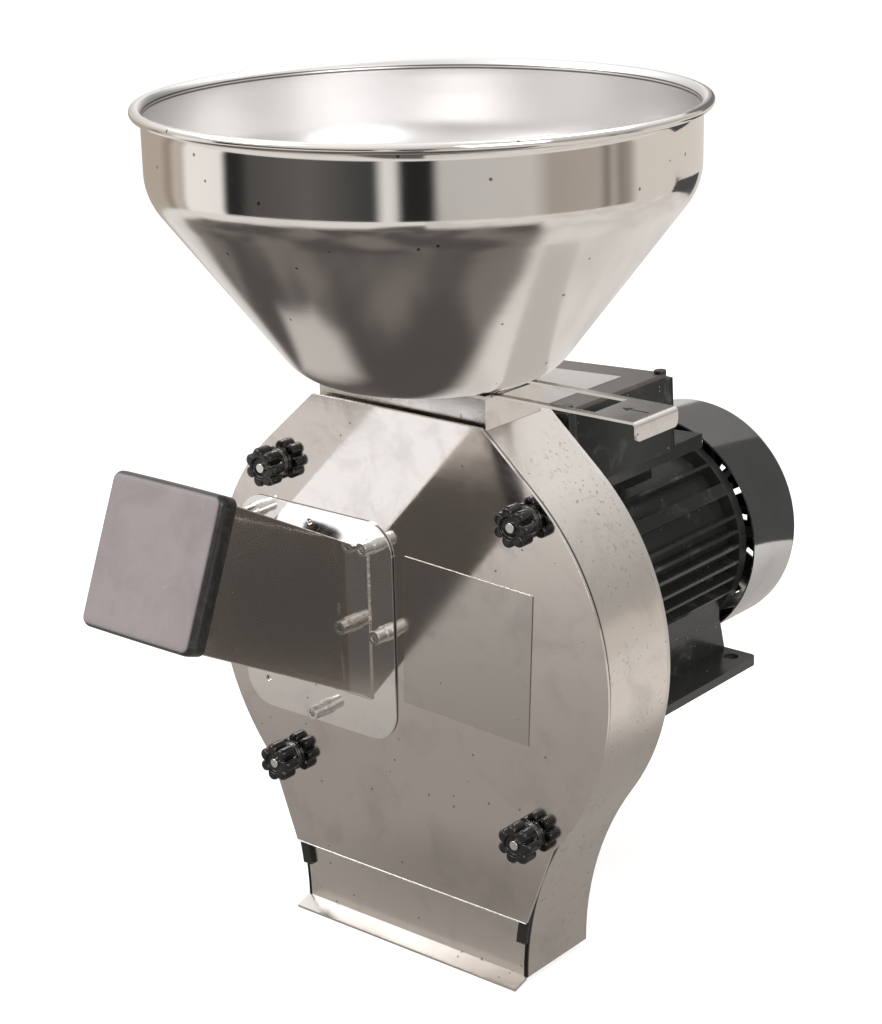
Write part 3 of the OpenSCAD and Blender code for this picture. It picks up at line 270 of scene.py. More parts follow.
card("fan_dark", upright(0.2, [(60, 30), (265, 30), (265, 300), (60, 300)]), (0.08, 0.08, 0.078))
card("fan_top", upright(0.9, [(-720, 300), (250, 300), (250, 950), (-720, 950)]),
     (0.20, 0.195, 0.19), soft=0.2)
card("top_sky", upright(1.5, [(-1800, 420), (-950, 420), (-950, 1200), (-1800, 1200)]),
     (1.05, 1.04, 1.03), soft=0.2)
card("tube_sky", [(-1.9, -1.3, 1.5), (-1.9, 0.2, 1.5), (-0.5, 0.2, 1.5), (-0.5, -1.3, 1.5)],
     (1.64, 1.74, 1.88))
card("cone_right", under_hopper(0.2416, [
    (-20, 15), (-120, 60), (-330, 230), (-300, 380), (-100, 460), (170, 420), (380, 260), (440, 0), (120, 0),
    (20, -20)]), (0.78, 0.75, 0.72), patches=0.1, soft=0.04, once=True)
card("cone_dark", under_hopper(0.2418, [
    (76, 28), (103, 66), (119, 108), (264, 223), (325, 118), (345, -5), (322, -125), (258, -228), (152, -312),
    (18, -350), (-66, -312), (-56, -178), (-22, -124), (3, -85), (28, -36)]),
     (0.17, 0.155, 0.145), patches=0.45, soft=0.16, once=True)
card("cone_slide", [(0.066, -0.203, 0.2437), (0.170, -0.203, 0.2437), (0.170, -0.157, 0.2437),
                    (0.066, -0.157, 0.2437)], (0.58, 0.55, 0.525), soft=0.1, once=True)
card("cone_light", under_hopper(0.2424, [(80, -33), (98, -62), (94, -98), (44, -132), (34, -114), (16, -79)]),
     (0.60, 0.57, 0.545), soft=0.5, once=True)

# Shared effects of the finishes
# Lines left by rolling or spinning, slow waves in a sheet, specks and smudges, and the finishes made of them.


def effect(name, inputs, outputs):
    """A shader node group with named sockets; returns its tree, what comes in and what goes out."""
    tree = bpy.data.node_groups.new(name, "ShaderNodeTree")
    for label, kind, value in inputs:
        made = tree.interface.new_socket(label, in_out="INPUT", socket_type="NodeSocket" + kind)
        made.default_value = value
    for label, kind in outputs:
        tree.interface.new_socket(label, in_out="OUTPUT", socket_type="NodeSocket" + kind)
    return tree, tree.nodes.new("NodeGroupInput").outputs, tree.nodes.new("NodeGroupOutput").inputs


lines_effect, given, out = effect(
    "rolling_lines", [("Position", "Vector", (0, 0, 0)), ("Stretch", "Vector", (40, 40, 900))],
    [("Lines", "Float")])
stretched = vector_calc(lines_effect, "MULTIPLY", given[0], given[1])
grain = put(lines_effect, "TexNoise", {"Vector": stretched, "Scale": 1, "Detail": 4, "Roughness": 0.65})
lines_effect.links.new(grain.outputs[0], out[0])

waves_effect, given, out = effect(
    "sheet_waves", [("Position", "Vector", (0, 0, 0)), ("Scale", "Float", 9.0)], [("Waves", "Float")])
slow = put(waves_effect, "TexNoise", {"Vector": given[0], "Scale": given[1], "Detail": 1, "Roughness": 0.4})
waves_effect.links.new(slow.outputs[0], out[0])

smudge_effect, given, out = effect(
    "smudges", [("Position", "Vector", (0, 0, 0)), ("Scale", "Float", 30.0), ("Low", "Float", 0.48),
                ("High", "Float", 0.72)], [("Mask", "Float")])
cloud = put(smudge_effect, "TexNoise", {"Vector": given[0], "Scale": given[1], "Detail": 6, "Roughness": 0.62,
                                        "Distortion": 0.6})
smudge_effect.links.new(rise(smudge_effect, cloud.outputs[0], given[2], given[3], "SMOOTHSTEP"), out[0])

speck_effect, given, out = effect(
    "specks", [("Position", "Vector", (0, 0, 0)), ("Scale", "Float", 260.0), ("Share", "Float", 0.12),
               ("Size", "Float", 0.22)], [("Mask", "Float")])
cells = put(speck_effect, "TexVoronoi", {"Vector": given[0], "Scale": given[1], "Randomness": 1.0})
near = calc(speck_effect, "LESS_THAN", cells.outputs["Distance"], given[3])
lot = put(speck_effect, "SeparateColor", {0: cells.outputs["Color"]}).outputs[0]
chosen = calc(speck_effect, "LESS_THAN", lot, given[2])
speck_effect.links.new(calc(speck_effect, "MULTIPLY", near, chosen), out[0])


def use(tree, group, sockets):
    """A shared effect placed in a material; returns its first output."""
    made = tree.nodes.new("ShaderNodeGroup")
    made.node_tree = group
    return fill(tree, made, sockets).outputs[0]


def bumps(tree, height, depth, below=None):
    """Normals that follow a height pattern of a depth in mm, over the bumps below it."""
    sockets = {"Strength": 1.0, "Distance": depth * mm, "Height": height}
    return put(tree, "Bump", sockets if below is None else {**sockets, "Normal": below}).outputs[0]


def steel(name, colour, dull, stretch=(60, 60, 900), waves=0.0, wave_scale=9, specks=0.02, line_depth=0.02,
          spread=0.07, speck_scale=260, metal=1.0, grime=0.0):
    """Sheet steel: lines, smudges and specks change its colour and polish, slow waves bend its reflections,
    and grime leaves fine dark crusts in wider clouds."""
    dirt = (0.32, 0.29, 0.26)
    material, tree, output = blank_material(name)
    place = put(tree, "TexCoord").outputs["Object"]
    lines = use(tree, lines_effect, {"Position": place, "Stretch": stretch})
    smudges = use(tree, smudge_effect, {"Position": place, "Scale": 30})
    spots = use(tree, speck_effect, {"Position": place, "Share": specks, "Scale": speck_scale})
    base = blend(tree, smudges, colour, tuple(c * 0.88 for c in colour))
    base = blend(tree, spots, base, dirt)
    if grime:
        fine = use(tree, smudge_effect, {"Position": place, "Scale": 330.0, "Low": 0.56, "High": 0.66})
        wide = use(tree, smudge_effect, {"Position": place, "Scale": 13.0, "Low": 0.44, "High": 0.66})
        crust = calc(tree, "MULTIPLY", calc(tree, "MULTIPLY", fine, wide), grime)
        base = blend(tree, crust, base, dirt)
    rough = calc(tree, "ADD", ranged(tree, lines, dull - spread / 2, dull + spread / 2),
                 ranged(tree, smudges, 0, spread))
    rough = calc(tree, "ADD", rough, ranged(tree, spots, 0, 0.3))
    bump = bumps(tree, lines, line_depth)
    if waves:
        bump = bumps(tree, use(tree, waves_effect, {"Position": place, "Scale": wave_scale}), waves, bump)
    shader = put(tree, "BsdfPrincipled", {"Base Color": base, "Metallic": metal, "Roughness": rough,
                                          "Normal": bump})
    tree.links.new(shader.outputs[0], output.inputs[0])
    return material


def overlaid(material, mask, colour):
    """Lays a colour over a finish where a mask made in its tree is 1."""
    tree = material.node_tree
    shader = next(node for node in tree.nodes if node.type == "BSDF_PRINCIPLED")
    plain = shader.inputs["Base Color"].links[0].from_socket
    tree.links.new(blend(tree, mask, plain, colour), shader.inputs["Base Color"])


def painted_edge_shade(material, start, end, colour):
    """Lays a painted shade, a dark colour, over a finish from one place along y, in mm, to the next."""
    tree = material.node_tree
    y = put(tree, "SeparateXYZ", {0: put(tree, "TexCoord").outputs["Object"]}).outputs[1]
    overlaid(material, rise(tree, y, start * mm, end * mm), colour)


def coated(name, colour, dust, dull, peel=0.02, peel_scale=700, dust_low=0.55, dust_high=0.85,
           specks=0.01):
    """Paint, plastic or rubber: an even colour with light dust and specks, over a fine peel."""
    material, tree, output = blank_material(name)
    place = put(tree, "TexCoord").outputs["Object"]
    film = use(tree, smudge_effect, {"Position": place, "Scale": 60, "Low": dust_low, "High": dust_high})
    spots = use(tree, speck_effect, {"Position": place, "Share": specks, "Scale": 420.0, "Size": 0.2})
    orange = use(tree, waves_effect, {"Position": place, "Scale": peel_scale})
    base = blend(tree, film, colour, tuple(c * 0.7 + d * 0.3 for c, d in zip(colour, dust)))
    base = blend(tree, spots, base, dust)
    rough = calc(tree, "ADD", ranged(tree, film, dull, dull + 0.16), ranged(tree, orange, -0.03, 0.03))
    shader = put(tree, "BsdfPrincipled", {"Base Color": base, "Roughness": rough,
                                          "Normal": bumps(tree, orange, peel)})
    tree.links.new(shader.outputs[0], output.inputs[0])
    return material


# Casing
# A band of 2 mm stainless sheet bent round the drum and flared into the outlet's sides, welded to the
# back plate. The outlet's front is a plate with a folded lip.


def dressed(node, body, material, bevel=0.4, segments=2):
    """A copy of a CAD node with its doubled corners merged, its sharp edges rounded and its rounds smooth."""
    doubled, flat = 1e-6, math.radians(0.6)
    solid = bmesh.new()
    solid.from_mesh(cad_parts[node].data)
    bmesh.ops.remove_doubles(solid, verts=solid.verts, dist=doubled)
    bmesh.ops.dissolve_limit(solid, angle_limit=flat, verts=solid.verts, edges=solid.edges)
    mesh = bpy.data.meshes.new(node + "_dressed")
    solid.to_mesh(mesh)
    solid.free()
    for spare in [a.name for a in mesh.attributes if a.name in ("custom_normal", "sharp_face", "sharp_edge")]:
        mesh.attributes.remove(mesh.attributes[spare])
    mesh.materials.clear()
    finished(mesh, body, material, [node], bevel, segments)


def finished(mesh, body, material, nodes=(), bevel=0.0, segments=2, angle=32):
    """The mesh as a piece: shaded smooth, given its finish, its edges rounded, and riding on its body."""
    piece = bpy.data.objects.new(mesh.name, mesh)
    scene.collection.objects.link(piece)
    mesh.materials.append(material)
    mesh.shade_smooth()
    if bevel:
        edge = piece.modifiers.new("edges", "BEVEL")
        edge.width, edge.segments, edge.limit_method = bevel * mm, segments, "ANGLE"
        edge.angle_limit, edge.harden_normals = math.radians(angle), True
    else:
        mesh.set_sharp_from_angle(angle=math.radians(angle))
    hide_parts(*nodes)
    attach(piece, body)


def outward(name, points, faces):
    """A mesh of points in metres whose faces are all turned to face outward."""
    mesh = bpy.data.meshes.new(name)
    mesh.from_pydata(points, [], faces)
    solid = bmesh.new()
    solid.from_mesh(mesh)
    bmesh.ops.recalc_face_normals(solid, faces=solid.faces)
    solid.to_mesh(mesh)
    solid.free()
    return mesh


def skin(name, grid, along=False, ends=False):
    """Quads over a grid of points in mm (rows, columns, 3). Columns close on themselves, rows do so where
    along is set, and ends closes the first and last rows with a face."""
    rows, columns = grid.shape[:2]
    index = np.arange(rows * columns).reshape(rows, columns)
    index = np.concatenate([index, index[:, :1]], 1)
    if along:
        index = np.concatenate([index, index[:1]], 0)
    quads = np.stack([index[:-1, :-1], index[:-1, 1:], index[1:, 1:], index[1:, :-1]], -1).reshape(-1, 4)
    faces = quads.tolist()
    if ends:
        faces += [index[0, :columns][::-1].tolist(), index[rows - 1, :columns].tolist()]
    return outward(name, (grid.reshape(-1, 3) * mm).tolist(), faces)


sheet_steel = steel("sheet_steel", (0.70, 0.66, 0.62), 0.20, stretch=(30, 500, 30), waves=0.4, wave_scale=14,
                    specks=0.06, speck_scale=420, spread=0.10, line_depth=0.008, grime=0.8)
# Painted shade: the band darkens towards its front edge, standing in for the shadow under the cover's lap.
band_front, band_shade = -206.0, -204.8
painted_edge_shade(sheet_steel, band_shade, band_front, (0.03, 0.027, 0.024))
plate_steel = steel("plate_steel", (0.66, 0.63, 0.59), 0.34, waves=0.3, wave_scale=12, spread=0.12)
outlet_steel = steel("outlet_steel", (0.74, 0.70, 0.66), 0.20, stretch=(500, 30, 30), waves=0.6,
                     wave_scale=20, specks=0.06)
dressed("casing_band", "mill_frame", sheet_steel, 0.5)
dressed("back_plate", "mill_frame", plate_steel, 0.4)
dressed("outlet_plate", "mill_frame", outlet_steel, 0.5)

# Gasket
# A black rubber strip between the casing and its cover, whose two ends hang out below the cover.
gasket_rubber = coated("gasket_rubber", (0.012, 0.012, 0.012), (0.25, 0.23, 0.2), 0.42)
dressed("cover_gasket", "mill_frame", gasket_rubber, 0.3)

# Front cover
# A polished 2 mm stainless plate cut to the drum's outline and held by four studs. It carries a thin blank
# plate, and its knobs and inlet follow in their own sections.
cover_steel = steel("cover_steel", (0.70, 0.655, 0.62), 0.075, stretch=(25, 25, 700), waves=0.35,
                    wave_scale=7, spread=0.05, line_depth=0.004)
dressed("front_cover", "cover", cover_steel, 0.3)
blank_metal = steel("blank_metal", (0.58, 0.55, 0.525), 0.16, stretch=(300, 30, 30), waves=0.15,
                    wave_scale=10, line_depth=0.002, spread=0.04)
dressed("name_plate", "cover", blank_metal, 0.15)

# Studs, washers and star knobs
# Threaded studs stand out through the cover. Moulded seven-lobed knobs clamp it, each over a steel washer
# whose colour is darkened as painted shade from the knob over it.
stud_steel = steel("stud_steel", (0.74, 0.73, 0.71), 0.22, stretch=(60, 900, 60))
# Painted shade: the washers' steel is coloured dark for the shade the knobs cast on them.
washer_steel = steel("washer_steel", (0.16, 0.155, 0.15), 0.3, stretch=(60, 60, 60))
dressed("cover_studs", "mill_frame", stud_steel, 0.5)
knob_plastic = coated("knob_plastic", (0.009, 0.009, 0.009), (0.12, 0.115, 0.11), 0.15, peel=0.003,
                      peel_scale=400, dust_low=0.66, dust_high=0.9, specks=0.002)
knob_lobes, lobe_r, lobe_circle = 7, 3.6, 8.9
knob_low, knob_lobe_low, knob_top = -213.5, -216.5, -228.0
knob_bore, knob_dish_r, knob_dish_floor = 3.05, 6.5, -226.0
knob_places = [(-95.5, 177.6), (-95.5, -17.6), (95.5, 177.6), (95.5, -17.6)]


def knob(centre_x, centre_z, number):
    """A ring of lobes round the knob's axis: the radius at each angle is the farther of a round core and
    the nearest lobe, softened where they meet. Each row of the profile is set in from it by an amount."""
    core, sharpness = lobe_circle - 0.5, 2.2
    foot_round, top_round, dish_round = 1.6, 2.4, 0.8
    a = np.linspace(0, 2 * math.pi, 168, endpoint=False)
    off = (a * knob_lobes / (2 * math.pi) + 0.5) % 1 - 0.5
    aside = lobe_circle * np.sin(off * 2 * math.pi / knob_lobes)
    ahead = lobe_circle * np.cos(off * 2 * math.pi / knob_lobes)
    reach = ahead + np.sqrt(np.maximum(lobe_r ** 2 - aside ** 2, 0))
    edge = np.where(np.abs(aside) < lobe_r, reach, core)
    edge = np.log(np.exp(edge * sharpness) + np.exp(core * sharpness)) / sharpness
    turn = np.linspace(0, math.pi / 2, 6)
    rows = [(None, knob_bore, knob_low), (None, lobe_circle - 0.6, knob_low),
            (None, lobe_circle - 0.2, knob_low - 0.4), (None, lobe_circle - 0.2, knob_lobe_low + 0.3)]
    rows += [(foot_round * (1 - math.sin(t)), 0, knob_lobe_low - foot_round * (1 - math.cos(t)))
             for t in turn]
    rows += [(top_round * (1 - math.cos(t)), 0, knob_top + top_round * (1 - math.sin(t))) for t in turn]
    rows += [(None, knob_dish_r + dish_round * (1 - math.sin(t)), knob_top + dish_round * (1 - math.cos(t)))
             for t in turn]
    rows += [(None, knob_dish_r - 0.3, knob_dish_floor - 0.3), (None, knob_dish_r - 0.9, knob_dish_floor),
             (None, knob_bore, knob_dish_floor)]
    radius = np.array([np.full(a.shape, r) if inset is None else np.maximum(edge - inset, knob_dish_r + 0.9)
                       for inset, r, y in rows])
    y = np.array([row[2] for row in rows])[:, None] + 0 * a
    grid = np.stack([centre_x + radius * np.cos(a), y, centre_z + radius * np.sin(a)], -1)
    mesh = skin("star_knob_%d_moulded" % number, grid, along=True)
    finished(mesh, "knob_%d" % number, knob_plastic, ["star_knob_%d" % number], angle=50)


for number, (x, z) in enumerate(knob_places, 1):
    knob(x, z, number)
    dressed("knob_washer_%d" % number, "washer_%d" % number, washer_steel, 0.3)

# Hopper
# A bowl spun from 1.2 mm stainless and polished: flat base, cone, shoulder and straight wall, with its rim
# rolled outward round a bead. Four screws hold its base to the slide's guides.


def arc(centre, radius, start, end, steps=10):
    """Points of an arc in a plane, from one angle to another in degrees."""
    a = np.radians(np.linspace(start, end, steps))
    return np.stack([centre[0] + radius * np.cos(a), centre[1] + radius * np.sin(a)], -1)


def turned(name, profile, centre):
    """A closed profile of (radius, height) points turned round an upright axis through a centre, in mm."""
    a = np.linspace(0, 2 * math.pi, 256, endpoint=False)
    r, h = np.asarray(profile, float).T[:, :, None] + 0 * a
    grid = np.stack([r * np.cos(a), r * np.sin(a), h], -1)
    return skin(name, grid + np.asarray(centre, float), along=True)


hopper_centre = (0, hopper_y, 243.4)
hopper_wall, shoulder, cone, bend, base = 158.4, 111.0, 52.776, 33.0, 57.7
hopper_t, throat = 1.2, 15.0
shoulder_r, rim_low, rim_inside = 36.0, 153.6, 156.2
bead, bead_r = (161.6, 157.0), 3.0
slant = np.array((math.cos(math.radians(cone)), math.sin(math.radians(cone))))
corner = np.array((hopper_wall, shoulder))
tangent = shoulder_r * math.tan(math.radians(90 - cone) / 2)
soft = (hopper_wall - shoulder_r, shoulder + tangent)
cone_run = np.linspace(110, 14, 8)[:, None]
profile = np.concatenate([
    [(throat, 0), (base - 6, 0)], arc((base, bend), bend, -90, cone - 90, 14),
    corner - slant[None] * cone_run, arc(soft, shoulder_r, cone - 90, 0, 20),
    np.stack([np.full(6, hopper_wall), np.linspace(soft[1] + 3, rim_low, 6)], -1),
    arc(bead, bead_r, 222, 490, 26), [(hopper_wall - hopper_t + 0.2, rim_inside)],
    np.stack([np.full(6, hopper_wall - hopper_t), np.linspace(rim_inside - 1.7, soft[1] + 3, 6)], -1),
    arc(soft, shoulder_r - hopper_t, 0, cone - 90, 20),
    corner - slant[None] * cone_run[::-1] + hopper_t * np.array((-slant[1], slant[0])),
    arc((base, bend), bend - hopper_t, cone - 90, -90, 14), [(base - 6, hopper_t), (throat, hopper_t)]])


def spun_steel(name, colour, inside, dull):
    """Polished spun steel: fine rings round the axis, faint smudges, a few specks and two dark lines of
    painted shade at the rolled rim, under the bead where its curl meets the wall. Inside the bowl its colour
    is a slightly darker copy, painted shade that tones the bowl down. It is less polished inside the bowl
    and, a little, on the cone below the wall."""
    wall_foot, cone_top = 362, 352
    bead_shade_lines = ((rim_low + 0.6, 0.7), (rim_inside - 0.3, 0.6))
    ring_depth, step_depth = 0.02, 0.12
    material, tree, output = blank_material(name)
    corners = put(tree, "TexCoord").outputs
    place = corners["Object"]
    moved = vector_calc(tree, "ADD", place, (0, -hopper_y * mm, 0))
    flat = vector_calc(tree, "MULTIPLY", moved, (1, 1, 0))
    radius = vector_calc(tree, "LENGTH", flat)
    height = put(tree, "SeparateXYZ", {0: moved}).outputs[2]
    ring = put(tree, "CombineXYZ", {0: radius, 1: height, 2: 0.0}).outputs[0]
    rings = put(tree, "TexNoise", {"Vector": ring, "Scale": 420, "Detail": 5, "Roughness": 0.7}).outputs[0]
    steps = put(tree, "TexNoise", {"Vector": ring, "Scale": 60, "Detail": 1}).outputs[0]
    smudges = use(tree, smudge_effect, {"Position": place, "Scale": 16.0, "Low": 0.5, "High": 0.8})
    spots = use(tree, speck_effect, {"Position": place, "Share": 0.012, "Scale": 240.0, "Size": 0.25})
    outward_down = vector_calc(tree, "ADD", vector_calc(tree, "NORMALIZE", flat), (0, 0, -0.5))
    bowl = rise(tree, vector_calc(tree, "DOT_PRODUCT", outward_down, corners["Normal"]), 0.1, -0.3)
    base = blend(tree, smudges, colour, tuple(c * 0.93 for c in colour))
    base = blend(tree, spots, base, (0.25, 0.22, 0.2))
    # Painted shade: inside the bowl the steel takes a slightly darker copy of its colour, toning down how
    # bright the bowl shows.
    base = blend(tree, bowl, base, inside)
    # Painted shade: two dark lines along the rim, under the bead, where its curl meets the wall.
    for middle, reach in bead_shade_lines:
        away = calc(tree, "SUBTRACT", height, (hopper_centre[2] + middle) * mm)
        bead_shade = rise(tree, calc(tree, "ABSOLUTE", away), reach * mm, reach * mm * 0.5)
        narrow = calc(tree, "LESS_THAN", radius, (hopper_wall + 1.0) * mm)
        base = blend(tree, calc(tree, "MULTIPLY", bead_shade, narrow), base, (0.16, 0.145, 0.135))
    rough = calc(tree, "ADD", ranged(tree, rings, dull - 0.03, dull + 0.03), ranged(tree, smudges, 0, 0.04))
    cone_dull = calc(tree, "MULTIPLY", rise(tree, height, wall_foot * mm, cone_top * mm), 0.10)
    rough = calc(tree, "ADD", rough, calc(tree, "MAXIMUM", calc(tree, "MULTIPLY", bowl, 0.24), cone_dull))
    bump = bumps(tree, steps, step_depth, bumps(tree, rings, ring_depth))
    shader = put(tree, "BsdfPrincipled", {"Base Color": base, "Metallic": 1.0, "Roughness": rough,
                                          "Normal": bump})
    tree.links.new(shader.outputs[0], output.inputs[0])
    return material


hopper_steel = spun_steel("hopper_steel", (0.80, 0.77, 0.74), (0.765, 0.75, 0.74), 0.075)
finished(turned("hopper_spun", profile, hopper_centre), "mill_frame", hopper_steel,
         ["hopper"], angle=60)
dressed("hopper_screws", "mill_frame", stud_steel, 0.4)

# Slide housing and guides
# A folded box welded on the casing's flat top carries two flat guides, and the hopper stands on them.
housing_steel = steel("housing_steel", (0.74, 0.70, 0.66), 0.20, stretch=(30, 500, 30), waves=0.4,
                      wave_scale=14, specks=0.05, speck_scale=420, spread=0.10, line_depth=0.008, grime=0.5)
dressed("slide_housing", "mill_frame", housing_steel, 0.8, 3)
dressed("slide_guides", "mill_frame", plate_steel, 0.2)

# Feed slide
# A flat stainless strip with a long window, pushed in to let the grain fall. Its end is folded down as a
# handle, and a plain arrow is pressed into it, drawn as painted shade: a dark colour on the top face.
slide_steel = steel("slide_steel", (0.72, 0.69, 0.66), 0.20, stretch=(40, 900, 40), specks=0.03, spread=0.09)
slide_left, slide_right, slide_y, slide_half = -28.0, 162.0, hopper_y, 20.0
slide_low, slide_high, lip_low = 241.55, 243.15, 232.15
window_left, window_right, window_half = 58.0, 131.0, 15.5


def folded_slide():
    """A strip whose end bends down in an arc: stations along its length and down the lip, five columns
    across, top and underside, with the window's quads left out and walls round every open edge."""
    bend_r, thick, arrow_end = 3.2, slide_high - slide_low, 145
    flat = [slide_left, slide_left + 0.4, 0, window_left, window_left + 20, window_right - 20, window_right,
            arrow_end, slide_right - bend_r]
    path = [((x, slide_high), (0, 1)) for x in flat]
    for t in np.linspace(0, math.pi / 2, 8)[1:]:
        path.append(((slide_right - bend_r * (1 - math.sin(t)), slide_high - bend_r * (1 - math.cos(t))),
                     (math.sin(t), math.cos(t))))
    path += [((slide_right, z), (1, 0)) for z in (236.5, 234.0, 232.8, lip_low)]
    widths = [slide_half] * (len(path) - 3) + [slide_half - 0.4, slide_half - 1.3, slide_half - 2.8]
    widths[0] = slide_half - 0.4
    columns = np.array([-1, -window_half / slide_half, 0, window_half / slide_half, 1])
    points = []
    for ((x, z), (nx, nz)), reach in zip(path, widths):
        for side in (0, 1):
            for c in columns:
                y = slide_y + c * (reach if abs(c) == 1 else slide_half)
                points.append(((x - nx * thick * side) * mm, y * mm, (z - nz * thick * side) * mm))
    hole = range(flat.index(window_left), flat.index(window_right))
    solid = {(i, j) for i in range(len(path) - 1) for j in range(4) if not (i in hole and j in (1, 2))}
    walls = (((-1, 0), (0, 1)), ((0, 1), (1, 2)), ((1, 0), (2, 3)), ((0, -1), (3, 0)))
    quads = []
    for i, j in sorted(solid):
        top = [i * 10 + j, i * 10 + j + 1, i * 10 + j + 11, i * 10 + j + 10]
        quads += [top, [v + 5 for v in top[::-1]]]
        for (di, dj), (a, b) in walls:
            if (i + di, j + dj) not in solid:
                quads.append([top[a], top[b], top[b] + 5, top[a] + 5])
    return outward("feed_slide_folded", points, quads)


def arrow_mark(tree, place):
    """A mask of a plain arrow that points left, pressed into the slide's end: a thin shaft and a pointed
    head. Lengths are in mm from the arrow's middle."""
    middle_x, shaft_half, shaft_thick, pressed = 147.5, 8.5, 0.8, 0.4
    tip, head_back, head_slope = 9.5, 3.5, 0.65
    moved = vector_calc(tree, "SUBTRACT", place, (middle_x * mm, slide_y * mm, 0))
    x, y, z = put(tree, "SeparateXYZ", {0: moved}).outputs
    off = calc(tree, "ABSOLUTE", y)

    def under(value, limit):
        return calc(tree, "LESS_THAN", value, limit)

    def both(first, second):
        return calc(tree, "MULTIPLY", first, second)

    shaft = both(under(off, shaft_thick * mm), under(calc(tree, "ABSOLUTE", x), shaft_half * mm))
    spread = both(calc(tree, "ADD", x, tip * mm), head_slope)
    head = both(both(under(off, spread), under(x, -head_back * mm)), under(both(x, -1.0), tip * mm))
    above = calc(tree, "GREATER_THAN", z, (slide_high - pressed) * mm)
    return both(calc(tree, "MAXIMUM", shaft, head), above)


slide_tree = slide_steel.node_tree
slide_place = put(slide_tree, "TexCoord").outputs["Object"]
# Painted shade: the pressed arrow has no groove, so a dark colour on the slide's top face stands in for the
# shade in it.
overlaid(slide_steel, arrow_mark(slide_tree, slide_place), (0.10, 0.09, 0.08))
finished(folded_slide(), "slide", slide_steel, ["feed_slide"], angle=35)

# Cob inlet
# A flange plate screwed to the cover, and a square tube welded to it at a slope with a rippled bead. The same
# bead, thinner, makes a burr along the cover's lower edge, in near-white half-diffuse steel that is a painted
# highlight of that edge.
tube_steel = steel("tube_steel", (0.76, 0.72, 0.685), 0.07, stretch=(30, 30, 700), waves=0.35, specks=0.01,
                   line_depth=0.005)
flange_steel = steel("flange_steel", (0.93, 0.91, 0.89), 0.085, stretch=(30, 30, 700), waves=0.3,
                     wave_scale=12, specks=0.015, line_depth=0.004, spread=0.05)
# Painted shade: the flange's edge darkens towards the cover, standing in for the shade where the plate meets
# it.
flange_face, flange_edge = -212.6, -212.3
painted_edge_shade(flange_steel, flange_face, flange_edge, (0.05, 0.045, 0.04))
dressed("inlet_flange", "cover", flange_steel, 0.6, 3)
dressed("inlet_tube", "cover", tube_steel, 0.7, 3)
dressed("inlet_screws", "cover", stud_steel, 0.4)
weld_steel = steel("weld_steel", (0.62, 0.58, 0.54), 0.16, specks=0.1, waves=0.5, wave_scale=300)


def weld(name, corners, radius, closed=False, seed=1, metal=weld_steel):
    """A ring swept along a path of corners in mm: its radius swells and shrinks in ripples of uneven size."""
    rng = np.random.default_rng(seed)
    corners = np.asarray(corners + corners[:1] if closed else corners, float)
    lengths = np.linalg.norm(np.diff(corners, axis=0), axis=1)
    along = np.concatenate([[0], np.cumsum(lengths)])
    s = np.linspace(0, along[-1], int(along[-1] / 0.8) + 1)
    centre = np.stack([np.interp(s, along, corners[:, k]) for k in range(3)], -1)
    ahead = np.gradient(centre, axis=0)
    ahead /= np.linalg.norm(ahead, axis=1, keepdims=True)
    off_axis = (0.31, 0.52, 0.79)
    side = np.cross(ahead, off_axis)
    side /= np.linalg.norm(side, axis=1, keepdims=True)
    up = np.cross(ahead, side)
    ripples = np.abs(np.sin(s * 1.3 + rng.uniform(-0.6, 0.6, len(s))))
    swell = radius * (0.8 + 0.2 * ripples + rng.uniform(-0.08, 0.08, len(s)))
    a = np.linspace(0, 2 * math.pi, 10, endpoint=False)
    ring = side[:, None] * np.cos(a)[:, None] + up[:, None] * np.sin(a)[:, None]
    mesh = skin(name, centre[:, None] + ring * swell[:, None, None], ends=True)
    finished(mesh, "cover", metal, angle=60)


weld_left, weld_right, weld_low, weld_high, weld_y = -103.3, -22.7, 40.6, 136.4, -213.9
burr_half, burr_y, burr_z = 92, -211.9, -76.2
weld("tube_weld", [(weld_left, weld_y, weld_low), (weld_right, weld_y, weld_low),
                   (weld_right, weld_y, weld_high), (weld_left, weld_y, weld_high)], 0.9, closed=True)
# Painted highlight: the burr's near-white, half-diffuse steel makes a bright line along the cover's lower
# edge.
burr_highlight_steel = steel("burr_highlight_steel", (0.95, 0.94, 0.92), 0.35, metal=0.5, specks=0.0)
weld("cover_burr", [(-burr_half, burr_y, burr_z), (burr_half, burr_y, burr_z)], 0.5, seed=4, metal=burr_highlight_steel)

# Inlet cap
# Moulded black rubber pulled over the tube's mouth; its face is dusty and its skirt is glossy.
tube_slope, tube_foot, tube_length = 27.6, (-63, -213.5, 89.1), 153.0
cap_face, cap_back = 3.25, -11.0
cap_half = np.array((43.8, 45.7))
cap_tilt, cap_wall, cap_corner = 5.5, 3.0, 6.0


def tube_frame(points, tilt):
    """Points of the tube's own frame, which runs out along -y from the cover, brought into the mill's frame.
    They first turn with the mouth about its middle by a tilt in degrees."""
    for angle, shift in ((tilt, (0, -tube_length, 0)), (-tube_slope, tube_foot)):
        c, s = math.cos(math.radians(angle)), math.sin(math.radians(angle))
        x, y, z = np.moveaxis(np.asarray(points, float), -1, 0)
        points = np.stack([x, y * c - z * s, y * s + z * c], -1) + np.array(shift)
    return points


